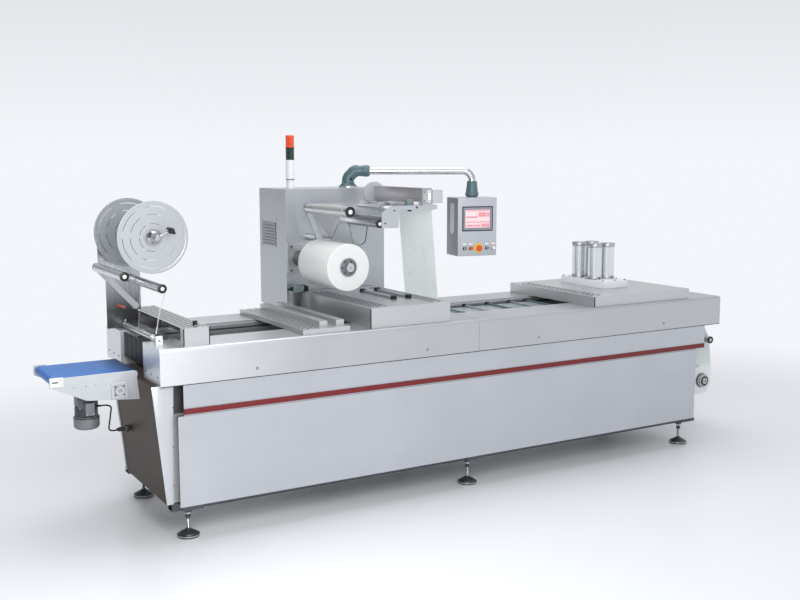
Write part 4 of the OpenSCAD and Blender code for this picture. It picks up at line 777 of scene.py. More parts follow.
class PACKER_OT_feet(Maker, bpy.types.Operator):
    """Turns the six levelling feet"""

    bl_idname = "packer.feet"
    bl_label = "Feet"

    def execute(self, context):
        pad = [(0, 0.2), (0, 55), (1.5, 57.5), (11, 58), (14, 57), (15, 55), (15.4, 50), (18, 49), (24, 42),
               (31, 27), (36, 19), (39, 15), (39, 11.5), (43, 11), (43, 0.2)]
        thread_z = np.arange(40.0, 150.0, 1.5)
        thread = np.stack([thread_z, np.where(np.arange(len(thread_z)) % 2, 8.0, 7.2)], -1)
        thread = np.vstack([[40, 0.2], thread, [149.5, 0.2]])
        collar = [(98, 8.2), (98, 12), (100, 13.5), (112, 13.5), (117, 10), (117, 8.2)]
        parts = []
        for x in (153, 1889, 3629):
            for y in (-376, 376):
                parts += [
                    (turned((x, y, 0), pad, "z", 56), "steel_dark"),
                    (turned((x, y, 0), thread, "z", 20), "machined"),
                    (sleeve((x, y, 0), 8, 13, 57.4, 58, "z", 56), "chrome"),
                    (turned((x, y, 0), collar, "z", 24, True), "steel_dark"),
                    (hex_nut((x, y, 0), 118, 130, 29), "chrome"),
                ]
        finished("feet", parts, "levelling_feet")
        return {"FINISHED"}


def perforated(node, top):
    """A copy of a cover with the cut walls of its holes in the shade finish, painted shade inside the holes:
    the upright faces just under the top that lie inside the cover's outline. What stands on the discharge
    cover is its knob."""
    mesh = rounded_copy(node, node + "_sheet", "cover", 0.5, angle=80).data
    centres = centres_of(mesh)
    low, high = (np.array(corner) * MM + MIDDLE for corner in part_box(node))
    inside = ((centres[:, :2] > low[:2] + 4.0) & (centres[:, :2] < high[:2] - 4.0)).all(1)
    wall = np.abs(face_rows(mesh, "normal")[:, 2]) < 0.5
    cut = inside & wall & (centres[:, 2] > top - 5.0) & (centres[:, 2] < top)
    knob = (centres[:, 2] > top + 0.5) & (node == "discharge_cover")
    repaint(mesh, ("shade", "dark"), cut + 2 * knob)


def staggered(start, step, columns, rows, lead):
    """Places of a staggered pattern: start + (i, j + h / 2) * step, where h is 1 in every other column,
    beginning with the first column where lead is 1. With lead, a shifted column has one place fewer."""
    i, j = np.meshgrid(np.arange(columns), np.arange(rows), indexing="ij")
    shifted = (i + lead) % 2
    keep = j < rows - lead * shifted
    return np.stack([start[0] + i * step[0], start[1] + (j + shifted / 2) * step[1], 0 * i], -1)[keep]


class PACKER_OT_covers(Maker, bpy.types.Operator):
    """Finishes the covers over the trough and adds their grips, knob and actuator"""

    bl_idname = "packer.covers"
    bl_label = "Covers"

    def execute(self, context):
        for node, top in TOPS.items():
            perforated(node, top)
        top = TOPS["sealing_cover"]
        parts = []
        for x in (1490, 1590):
            parts.append((box((x + 2, -150, top), (x + 24, 190, top + 14), 2.0, 3.0, "y"), "aluminium"))
            for y in (-184, 190):
                parts.append((box((x, y, top), (x + 26, y + 34, top + 20), 2.5, 3.0), "dark"))
                parts.append((bolt((x + 13, y + 17, top + 19), "z", 1, 4.5, 1.4), "machined"))
        parts += [
            (box((1108, 352, 1116), (1168, 398, 1160), 3, 5), "actuator"),
            (box((1168, 356, 1120), (1176, 394, 1156), 1, 3), "machined"),
            (box((1176, 354, 1118), (1192, 396, 1158), 2, 4), "dark"),
            (box((1195, 356, 1118), (1208, 394, 1150), 2, 4), "dark"),
            (box((1190, 364, 1126), (1198, 386, 1148), 1, 2), "actuator"),
            (box((1096, 364, 1124), (1108, 386, 1150), 1, 2), "dark"),
            (bar_round((1098, 375, 1137), (1074, 375, 1137), 5, 16), "dark"),
            (box((1120, 358, 1000), (1150, 392, 1116), 1.5, 3), "steel_dark"),
            (box((1116, 392, 1108), (1160, 437.6, 1116), 1.0, 2), "sheet"),
        ]
        finished("cover_handles", parts, "cover_fittings")
        knob = [(0, 0.35), (0, 9.15), (3, 9.15), (5, 11.65), (10, 12.15), (16, 11.65), (20, 9.15), (21.7, 4),
                (21.7, 0.2)]
        bars = []
        for low, high in ((905, 953), (1005, 1053)):
            bars.append((box((low - 0.2, -398.3, 1058), (high + 0.2, -392, 1060.3), 0.3, 0.5), "sheet"))
            bars.append((box((low + 4, -398.4, 1030), (high - 4, -397.4, 1056), 0.3, 1.0), "cover"))
        bars += [
            (turned((227, -352, 1090.2), knob, "z", 32), "dark"),
            (rod((227, -352, 1090.1), 0, 1.6, 14, "z", 32), "machined"),
        ]
        screws = []
        for x0, x1, z in ((135, 271, 1090), (790, 900, 1027), (1198, 1719, 1112), (2800, 3620, 1065)):
            for x in (x0 + 9, x1 - 9):
                for y in (-430, 430):
                    screws.append((bolt((x, y, z), "z", 1, 4.0, 2.2, 12), "machined"))
        finished("cover_details", bars + screws)
        # Dark sheets under the perforated tops: painted shade seen through the holes. The thin dark strips at
        # the covers' front ends are their seams.
        shade_and_seams = []
        spans = ((139, 267, 1078), (794, 902, 1015), (1206, 1350, 1100), (1608, 1713, 1100),
                 (2808, 2930, 1053))
        for low, high, z in spans:
            shade_and_seams.append((box((low, -430, z), (high, 430, z + 3), 0.3, 1.0), "shade"))
        for x, high in ((135, 1089), (268.4, 1089), (1198, 1109), (2800, 1063)):
            shade_and_seams.append((box((x - 0.4, -438.4, 1001), (x + 5.0, -434, high), 0.2, 0.3), "dark"))
        # Dark plugs in the round holes and the slots, up to the sheet's top: painted shade inside the holes.
        for low, high, columns, rows, z in ((135.0, 271.0, 6, 22, 1090.0), (790.0, 905.0, 4, 20, 1027.0)):
            step = np.array([(high - low) / (columns + 1), 2 * COVER_FACE / (rows + 1)])
            at = staggered((low + step[0], step[1] - COVER_FACE), step, columns, rows, 1)
            shade_and_seams.append((many(rod((0, 0, z), -2.6, 0.1, 8.2, "z", 14, 0.1), at), "hole"))
        slot = box((-2.0, -1.5, -2.6), (8.0, 35.5, 0.1), 0.1, 0.4)
        for low, columns, z in ((1222.0, 5, 1112.0), (1623.0, 4, 1112.0), (2824.0, 4, 1065.0)):
            at = staggered((low, -394.0), (24.0, 44.0), columns, 17, 0)
            shade_and_seams.append((many(slot, at + [0, 0, z]), "hole"))
        finished("cover_liners", shade_and_seams)
        return {"FINISHED"}


class PACKER_OT_cylinders(Maker, bpy.types.Operator):
    """Builds the plastic block and the four air cylinders with their rods and screws"""

    bl_idname = "packer.cylinders"
    bl_label = "Air cylinders"

    def execute(self, context):
        block = [(box((3110, -170, 1065), (3320, 270, 1115), 2.5, 4.0), "plastic")]
        finished("valve_block", block, "cylinder_block")
        foot = [(0, 0.2), (0, 49.5), (1.5, 50), (16, 50), (20, 48), (20, 30), (22, 26), (22, 0.2)]
        head = [(212, 0.2), (212, 46), (214, 49), (218, 50), (236, 50), (240, 48), (240, 20), (237, 18),
                (237, 0.2)]
        ties = spots(36, 4, np.pi / 4)
        parts = []
        for x in (3160, 3270):
            for y in (-20, 140):
                at = (x, y, 1115)
                parts += [
                    (sleeve(at, 20, 214, 44, 47.5, "z", 56), "glass"),
                    (turned(at, foot, "z", 56), "aluminium"),
                    (turned(at, head, "z", 56), "aluminium"),
                    (sleeve(at, 22, 212, 10, 14, "z", 28), "chrome"),
                    (rod(at, 60, 78, 42, "z", 40), "steel_dark"),
                    (many(rod(at, 18, 216, 3.4, "z", 12), ties), "chrome"),
                    (many(rod(at, 236, 240, 5, "z", 12), ties), "machined"),
                    (bar_round((x, y - 52, 1124), (x, y - 44, 1124), 6, 16), "dark"),
                ]
        finished("air_cylinders", parts, "forming_cylinders")
        places = [(x, y, 1115) for x in (3119, 3311) for y in (-150, -70, 20, 60, 190, 250)]
        places += [(3215, y, 1115) for y in (-158, 258)]
        heads = [(bolt(at, "z", 1, 6.5, 5.0), "dark") for at in places]
        finished("block_screws", heads)
        return {"FINISHED"}


class PACKER_OT_trough(Maker, bpy.types.Operator):
    """Dresses the trough: chain links, formed pockets and the cross pieces of the loading area"""

    bl_idname = "packer.trough"
    bl_label = "Trough and chains"

    def execute(self, context):
        links = []
        pitch = 25.4
        xs = np.arange(130.0, 3790.0, pitch)
        for side in (-1, 1):
            y = side * 181.0
            plate = box((0.5, y - 4.4, 961.5), (pitch - 1.5, y + 4.4, 969.6), 0.8, 2.0)
            links.append((many(plate, np.outer(xs, [1, 0, 0])), "steel_dark"))
        finished("chain_links", links)
        levels = ((971.6, 1.0), (971.9, 0.99), (968.0, 0.95), (940.0, 0.90), (936.5, 0.86), (936.5, 0.02))
        pockets = []
        for x in np.arange(1760.0, 2760.0, 170.0):
            for y in (-150.0, 5.0):
                rim = rectangle((x, y), (x + 150, y + 145), 14)
                middle = rim.mean(0)
                rings = []
                for z, share in levels:
                    rings.append(np.c_[middle + (rim - middle) * share, np.full(len(rim), z)])
                pockets.append((skin(rings), "pocket"))
        finished("formed_pockets", pockets)
        cross = []
        for i, x in enumerate((1775, 1905, 2060, 2240, 2420, 2600, 2735)):
            label = "aluminium" if i % 2 else "casting"
            cross.append((box((x - 6, -196, 974), (x + 6, 196, 982), 1.0, 1.5, "y"), label))
            for y in (-199, 180):
                cross.append((box((x - 14, y, 974), (x + 14, y + 19, 988), 1.0, 2.0), "dark"))
        cross.append((box((2120, -199, 974), (2680, -186, 990), 1.0, 1.5), "casting"))
        cross.append((box((1740, 186, 974), (2780, 199, 992), 1.0, 1.5), "aluminium"))
        finished("loading_bars", cross)
        # Dark strips hung inside the outfeed opening: a guessed curtain in the shade finish, painting the
        # shade inside the opening.
        ys = np.arange(-194.0, 190.0, 78.0)
        strips = [(box((18, y, 862), (20.5, y + 75.0, 992), 0.3, 1.0), "shade") for y in ys]
        strips.append((box((20.5, -198, 984), (26, 198, 994), 0.6, 1.0), "steel_dark"))
        finished("outfeed_curtain", strips)
        return {"FINISHED"}


# Outfeed conveyor


class PACKER_OT_conveyor(Maker, bpy.types.Operator):
    """Builds the belt, its side plates, bearing flanges and the finned gearmotor"""

    bl_idname = "packer.conveyor"
    bl_label = "Conveyor"

    def execute(self, context):
        rounded_copy("conveyor_frame", "conveyor_sides", "sheet_light", 0.875)
        rounded_copy("conveyor_belt", "belt_blue", "belt", 0.5)
        flange = []
        x, z = -124, 761
        for side in (-1, 1):
            face = side * 195.0
            dome = [(0, 11), (0, 27), (2, 28), (6, 26), (9.8, 24), (9.8, 18), (6, 16), (6, 11)]
            hub = [(0, 9.8), (0, 15.5), (7, 15.5), (7.5, 13), (7.5, 9.8)]
            for profile, sides, label in ((dome, 36, "chrome"), (hub, 28, "steel_dark")):
                profile = [(side * a, r) for a, r in profile]
                flange.append((turned((x, face, z), profile, "y", sides, True), label))
            corners = [(x + dx, face, z + dz) for dx in (-24, 24) for dz in (-24, 24)]
            flange += [(bolt(at, "y", side, 5, 3, 14), "steel_dark") for at in corners]
        finished("bearing_rings", flange)
        tail = []
        for side in (-1, 1):
            y = side * 185.0
            near, far = sorted((y + side * 0.2, y + side * 8.0))
            start, end = sorted((y + side * 7.5, y + side * 9))
            tail += [
                (box((-464, near, 812), (-400, far, 857), 1.0, 3.0), "plastic"),
                (box((-456, start, 832), (-424, end, 838), 0.3, 2.0), "dark"),
                (bolt((-411, y + side * 8, 847), "y", side, 4, 2), "machined"),
                (bolt((-411, y + side * 8, 822), "y", side, 4, 2), "machined"),
            ]
            for bx in (-350, -290, -240, -190, -70):
                tail.append((bolt((bx, y, 800), "y", side, 3.6, 1.8, 12), "machined"))
        finished("belt_tensioners", tail)
        self.motor()
        return {"FINISHED"}

    def motor(self):
        """A finned body: the radius rises to the fins 40 times round. It has a fan cover, a terminal box
        and a gearbox above."""
        x, y = -262.0, -60.0
        turn = np.arange(320) * 2 * np.pi / 320
        fin = 57.5 + 6.5 * (np.sin(turn * 40) > 0.1)
        outline = fin[:, None] * circle(1.0, 320)
        rings = [np.c_[outline * share, np.full(len(outline), level)] for level, share in
                 ((0.0, 0.05), (0.0, 0.86), (2.0, 0.9), (42.0, 0.9), (44.0, 0.86), (44.0, 0.05))]
        body = skin(np.array(rings) + np.array([x, y, 622.0]))
        fan = [(0, 0.2), (0, 22), (0.8, 24), (0.8, 28), (0, 30), (0, 36), (0.8, 38), (0.8, 42), (0, 44),
               (0, 50), (2, 56), (8, 62), (16, 64.6), (60, 65), (64, 64), (65, 60), (67, 57), (67, 0.2)]
        gear = [(box((x - 50, y - 50, 668), (x + 50, y + 50, 725), 3.0, 8.0), "motor")]
        for dx in (-40, 40):
            for dy in (-40, 40):
                gear.append((rod((x + dx, y + dy, 664), 0, 6, 5.5, "z", 12), "machined"))
        gland = [(0, 0.2), (0, 8), (5, 8), (8, 6.8), (30, 4.5), (30, 0.2)]
        parts = gear + [
            (body, "motor"),
            (turned((x, y, 555), fan, "z", 64), "motor_light"),
            (sleeve((x, y, 612), 0, 5, 64.4, 65.0, "z", 64), "dark"),
            (rod((x, y, 666), 0, 4, 56, "z", 48), "motor"),
            (box((-284, -138, 636), (-240, -96, 700), 2.0, 4.0), "motor_light"),
            (box((-284, -146, 636), (-240, -138.6, 700), 2.0, 4.0, "y"), "motor_light"),
            (hex_nut((0, -132, 680), -240, -234, 19, "x"), "dark"),
            (turned((-234, -132, 680), gland, "x", 24), "dark"),
        ]
        corners = [(dx, dz) for dx in (-278, -246) for dz in (642, 694)]
        parts += [(bolt((dx, -146, dz), "y", -1, 3.2, 1.6, 12), "machined") for dx, dz in corners]
        finished("gearmotor", parts, "conveyor_gearmotor")
        plug = [(0, 0.2), (0, 5.2), (3, 6.5), (9, 8.5), (12, 11), (14, 12), (30, 12), (31, 10.5), (34, 10.5),
                (35, 12), (46, 12), (47, 11.2), (47, 0.2)]
        finished("cable_connector", [(turned((-70, 96, 483), plug, "x", 28), "dark"),
                  (sleeve((-70, 96, 483), 31.2, 33.8, 10, 11.4, "x", 28), "chrome"),
                  (box((-25, 80, 467), (-2, 112, 499), 1.5, 3.0, "x"), "steel_dark")])


# Trim rewinder


class PACKER_OT_rewinder(Maker, bpy.types.Operator):
    """Builds the reel, its hub and lever, the swinging arm and the rollers of the trim rewinder"""

    bl_idname = "packer.rewinder"
    bl_label = "Trim rewinder"

    def execute(self, context):
        back = rounded_copy("rewinder_plate", "rewinder_back", "plate", 0.875)
        block = face_rows(back.data, "center")[:, 1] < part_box("lower_scrap_roller")[0][1] + 0.03
        repaint(back.data, ("plastic",), block)
        self.reel()
        rounded_copy("rewinder_arm", "swing_arm", "sheet_up", 1, body="rewinder_arm", angle=50)
        for name, node, at, radius, front, back, stub in (
            ("arm_roller", "rewinder_roller", (-91, 1343), 23, -240, 287.7, 8.0),
            ("trim_roller", "scrap_roller", (100, 1270), 23, -240, 291, 20.0),
        ):
            finished(name, capped(at, radius, front, back, stub), node, node)
        finished("low_roller", [
            (rod((53, 0, 1018), -200, 291, 17, "y", 40), "roller"),
            (rod((53, 0, 1018), -313, -200, 6, "y", 20), "machined"),
            (rod((53, 0, 1018), 291, 312, 6, "y", 20), "machined"),
            (sleeve((53, 0, 1018), -199, -195, 12, 17.2, "y", 40), "dark"),
        ], "lower_scrap_roller", "lower_scrap_roller")
        pin = [
            (sleeve((50, 0, 1115), 284, 300, 4, 9, "y", 24), "machined"),
            (bar_round((50, 280, 1115), (10, 276, 1130), 5.0, 16), "orange"),
            (bolt((20, 300, 1230), "y", -1, 6, 4), "machined"),
            (bolt((10, 300, 1320), "y", -1, 6, 4), "machined"),
            (bolt((60, 300, 1040), "y", -1, 6, 4), "machined"),
        ]
        finished("arm_pins", pin)
        self.trims()
        return {"FINISHED"}

    def reel(self):
        """Each disc is a grid of radius and turn, without cells in its arc slots, given a thickness."""
        radii = np.array([15, 40, 68.5, 71.5, 94, 115.5, 118.5, 137, 155.5, 158.5, 170, 173, 181.0, 183.0])
        lift = np.array([0, 0, 0, 0, 0, 0, 0, 0, 0, 0, 0, 1.2, 1.2, 0.2])
        steps = 180
        turn = np.arange(steps) * 2 * np.pi / steps
        ring, step = np.meshgrid(np.arange(len(radii) - 1), np.arange(steps), indexing="ij")
        angle = np.degrees(turn)[step]
        keep = ~(np.isin(ring, (2, 5, 8)) & ((angle % 60) < 44))
        index = np.arange(len(radii) * steps).reshape(len(radii), steps)
        ahead = (step + 1) % steps
        corners = [index[ring, step], index[ring, ahead], index[ring + 1, ahead], index[ring + 1, step]]
        quads = np.stack(corners, -1)[keep]
        # The rear disc takes the darker copy of the disc finish: painted shade.
        discs = (("reel_disc_front", -216.0, "reel"), ("reel_disc_rear", 216.0, "reel_back"))
        for name, y, label in discs:
            x = REEL_AT[0] + radii[:, None] * np.cos(turn)
            z = REEL_AT[2] + radii[:, None] * np.sin(turn)
            level = np.broadcast_to(y - lift[:, None], x.shape)
            disc = (np.stack([x, level, z], -1).reshape(-1, 3), quads.tolist())
            piece = finished(name, [(disc, label)], body="reel")
            # The slot walls and the outer rim take the shade finish: painted shade in the arc slots.
            piece.data.materials.append(palette()["shade"])
            piece.data.polygons.foreach_set("use_smooth", [False] * len(piece.data.polygons))
            wall = piece.modifiers.new("wall", "SOLIDIFY")
            wall.thickness = 0.004
            wall.offset = 0.0
            wall.material_offset_rim = 1
        hub = [(-219, 0.2), (-219, 36), (-223, 38), (-228, 37), (-234, 33), (-240, 26), (-250, 20),
               (-262, 17), (-266, 15), (-266, 0.2)]
        ball = [(-26, 0.2), (-26, 12), (-22, 16), (-8, 16), (0, 12), (8, 9), (8, 0.2)]
        wing = box((112, -296, 1560), (164, -278, 1574), 4, 6)
        knob = [
            (bar_round((67, -274, 1531), (136, -274, 1566), 6.5, 20), "machined"),
            (turned((138, -274, 1567), ball, "y", 28), "dark"),
            (turned_about(wing, (138, -286, 1567), "y", 38), "dark"),
        ]
        parts = [
            (turned(REEL_AT, hub, "y", 48), "chrome"),
            (rod(REEL_AT, -290, -262, 15, "y", 36, 2.0), "chrome"),
            (rod(REEL_AT, -214, 214, 40, "y", 48), "reel"),
            (rod(REEL_AT, 217, 312, 15, "y", 32), "machined"),
            (sleeve(REEL_AT, -222, -219.5, 34, 46, "y", 48), "machined"),
        ] + knob
        finished("reel_hub", parts, "rewinder_reel", "reel")

    def trims(self):
        """Thin film strips from the lower roller over the arm's roller to the reel."""
        strip = np.array([(-0.25, -4), (0.25, -4), (0.25, 4), (-0.25, 4)])
        paths = (
            [(120, -216, 1256), (112, -214, 1215), (96, -212, 1170), (84, -212, 1120), (74, -214, 1070),
             (66, -216, 1036)],
            [(80, 60, 1250), (72, 58, 1200), (70, 56, 1140), (64, 56, 1085), (60, 56, 1037)],
        )
        parts = [(swept(smooth_path(path, 6), strip), "scrap") for path in paths]
        finished("trim_strips", parts)


def capped(at, radius, front, back, stub=20.0):
    """A ground roller with a black end ring round a light centre, and a stub of its shaft behind."""
    centre = (at[0], 0.0, at[1])
    ring = [(front - 0.6, 0.45 * radius), (front - 0.6, 0.86 * radius), (front + 1, radius * 1.03),
            (front + 9, radius * 1.03), (front + 10, 0.9 * radius), (front + 10, 0.45 * radius)]
    cup = [(front - 0.2, 0.2), (front - 0.2, 0.2 * radius), (front + 0.4, 0.44 * radius),
           (front + 10, 0.44 * radius), (front + 10, 0.2)]
    return [
        (rod(centre, front + 8, back, radius, "y", 48), "roller"),
        (turned(centre, ring, "y", 40, True), "dark"),
        (turned(centre, cup, "y", 28), "white"),
        (sleeve(centre, back - 8, back - 2, 0.7 * radius, radius * 1.02, "y", 40), "dark"),
        (rod(centre, back, back + stub, 6, "y", 20), "machined"),
    ]


# Cabinet, signal tower and operator panel


class PACKER_OT_cabinet(Maker, bpy.types.Operator):
    """Rounds the cabinet and its door and adds louvres and screws"""

    bl_idname = "packer.cabinet"
    bl_label = "Cabinet"

    def execute(self, context):
        rounded_copy("cabinet", "cabinet_body", "sheet_up", 1.25)
        rounded_copy("cabinet_door", "rear_door", "sheet_up", 1.25, body="cabinet_door")
        blades = many(side_blade(), [(0, 0, z) for z in np.linspace(1381, 1534, 8, endpoint=False)])
        heads = [(bolt((1111, y, z), "x", -1, 4.5, 2.0, 14), "machined")
                 for y in (600, 825) for z in (1372, 1543)]
        finished("louvres", [(blades, "sheet_up")] + heads)
        lock = [
            (turned((1151, 860.2, 1360), stepped((0, 3, 16), (3, 12, 12)), "y", 32), "dark"),
            (box((1148, 868, 1350), (1154, 873.8, 1370), 1.0, 1.5), "machined"),
        ]
        finished("door_lock", lock, body="cabinet_door")
        return {"FINISHED"}


def side_blade():
    """One louvre: a curved hood carried along y, standing out from the cabinet's left face."""
    turn = np.linspace(0, np.pi / 2, 6)
    outer = np.stack([1111.0 - 7.0 * np.sin(turn), 15.0 - 15.0 * (1 - np.cos(turn))], -1)
    inner = np.stack([1111.5 - 6.0 * np.sin(turn), 14.0 - 14.0 * (1 - np.cos(turn))], -1)
    profile = np.vstack([outer, inner[::-1]])
    ys = np.array([611.0, 613.0, 812.0, 814.0])
    return skin([upright(profile, y) for y in ys])


def ribbed(low, high):
    """The profile of a lens whose radius goes out and in by 2.2 mm 8 times between low and high."""
    steps = [(low + 1.5 + i * (high - low - 3) / 16, LENS - 0.3 - 2.2 * (i % 2)) for i in range(17)]
    return [(low, 0.2), (low, LENS - 1), *steps, (high, LENS - 1), (high, 0.2)]


class PACKER_OT_signal_tower(Maker, bpy.types.Operator):
    """Turns the signal tower with its ribbed lenses"""

    bl_idname = "packer.signal_tower"
    bl_label = "Signal tower"

    def execute(self, context):
        at = (1232, 650, 0)
        body = stepped((1782, 1792, 24), (1792, 1906, 27.5), (1906, 1913, 26))
        base = [(1736, 0.2), (1736, 27.8), (1740, 28), (1746, 26), (1778, 24), (1782, 22), (1782, 0.2)]
        cap = [(2057, 0.2), (2057, 27.6), (2061, 27.8), (2064.5, 25), (2066, 18), (2066, 0.2)]
        parts = [
            (turned(at, base, "z", 48), "plastic"),
            (turned(at, body, "z", 48), "plastic"),
            (sleeve(at, 1790, 1794, 26, 27.9, "z", 48), "dark"),
            (turned(at, ribbed(1913, 1983), "z", 48), "lamp_green"),
            (rod(at, 1983, 1989, 27.6, "z", 48), "dark"),
            (turned(at, ribbed(1989, 2058), "z", 48), "lamp_red"),
            (turned(at, cap, "z", 48), "lamp_red"),
        ]
        finished("beacon", parts, "signal_tower")
        return {"FINISHED"}


class PACKER_OT_panel_arm(Maker, bpy.types.Operator):
    """Builds the castings and the bent tube that carry the operator panel"""

    bl_idname = "packer.panel_arm"
    bl_label = "Panel arm"

    def execute(self, context):
        base = np.array([1620.0, 610.0, 0.0])
        reach = np.linalg.norm(PANEL_AXIS - base)
        way = (PANEL_AXIS - base) / reach
        up = np.array([0.0, 0.0, 1.0])
        side = np.cross(up, way)
        column = [(1748.5, 0.2), (1748.5, 46), (1752, 48), (1758, 47), (1764, 40), (1790, 38.5), (1790, 0.2)]
        bends = ((0, 1770), (0, 1796), (2, 1800), (38, 1838), (42, 1841), (62, 1842))
        mitre = [base + way * out + up * rise for out, rise in bends]
        socket = [(56, 0.2), (56, 37), (60, 37), (64, 34), (96, 34), (100, 37), (128, 37), (134, 34),
                  (140, 30), (140, 24.2)]
        inner = [(140, 24.1), (62, 24.1), (62, 0.2)]
        parts = [
            (turned(base, column, "z", 56), "casting"),
            (swept_flat(mitre, circle(38.0, 48), side), "casting"),
            (turned(base + [0, 0, 1842], socket + inner, (way, side, up), 48), "casting"),
            (turned(base, [(1733, 0.2), (1733, 19.8), (1748.6, 19.8), (1748.6, 0.2)], "z", 32), "machined"),
        ]
        parts += [(hex_nut(base + spot, 1748.2, 1755, 13), "machined") for spot in spots(50, 4, np.pi / 4)]
        parts.append((bar_round(base + [0, -34, 1790], base + [0, -47, 1790], 7, 16), "dark"))
        finished("arm_joint", parts, "arm_castings", "hmi_arm")
        bend = 62.0
        straight = base + way * 46 + up * 1842
        corner_start = base + way * (reach - bend) + up * 1842
        turn = np.linspace(0, np.pi / 2, 14)[:, None]
        arc = corner_start + bend * np.sin(turn) * way - bend * (1 - np.cos(turn)) * up
        path = np.vstack([straight, base + way * (reach * 0.5) + up * 1842, arc, PANEL_AXIS + up * 1762.0])
        tube = swept_flat(path, circle(24.0, 40), side)
        finished("arm_pipe", [(tube, "pipe")], "arm_tube", "hmi_arm")
        return {"FINISHED"}


def swept_flat(path, section, side):
    """The section carried along a path that lies in one plane, whose normal is side."""
    path = np.asarray(path, float)
    ahead = np.gradient(path, axis=0)
    ahead /= np.linalg.norm(ahead, axis=1, keepdims=True)
    second = np.cross(ahead, side)
    u, v = section.T[..., None]
    return skin(path[:, None] + u * side + v * second[:, None])


def on_panel(shape):
    """A shape given round the panel's own upright axis, set at that axis and turned with the panel."""
    return turned_about((shape[0] + PANEL_AXIS, shape[1]), PANEL_AXIS, "z", PANEL_TURN)


def on_front(share, profile, sides=32, wrap=False):
    """A turned shape in the row of buttons, at a share of the panel's width from its middle."""
    return on_panel(turned((share * PANEL_WIDTH, PANEL_FRONT, BUTTON_Z), profile, "y", sides, wrap))


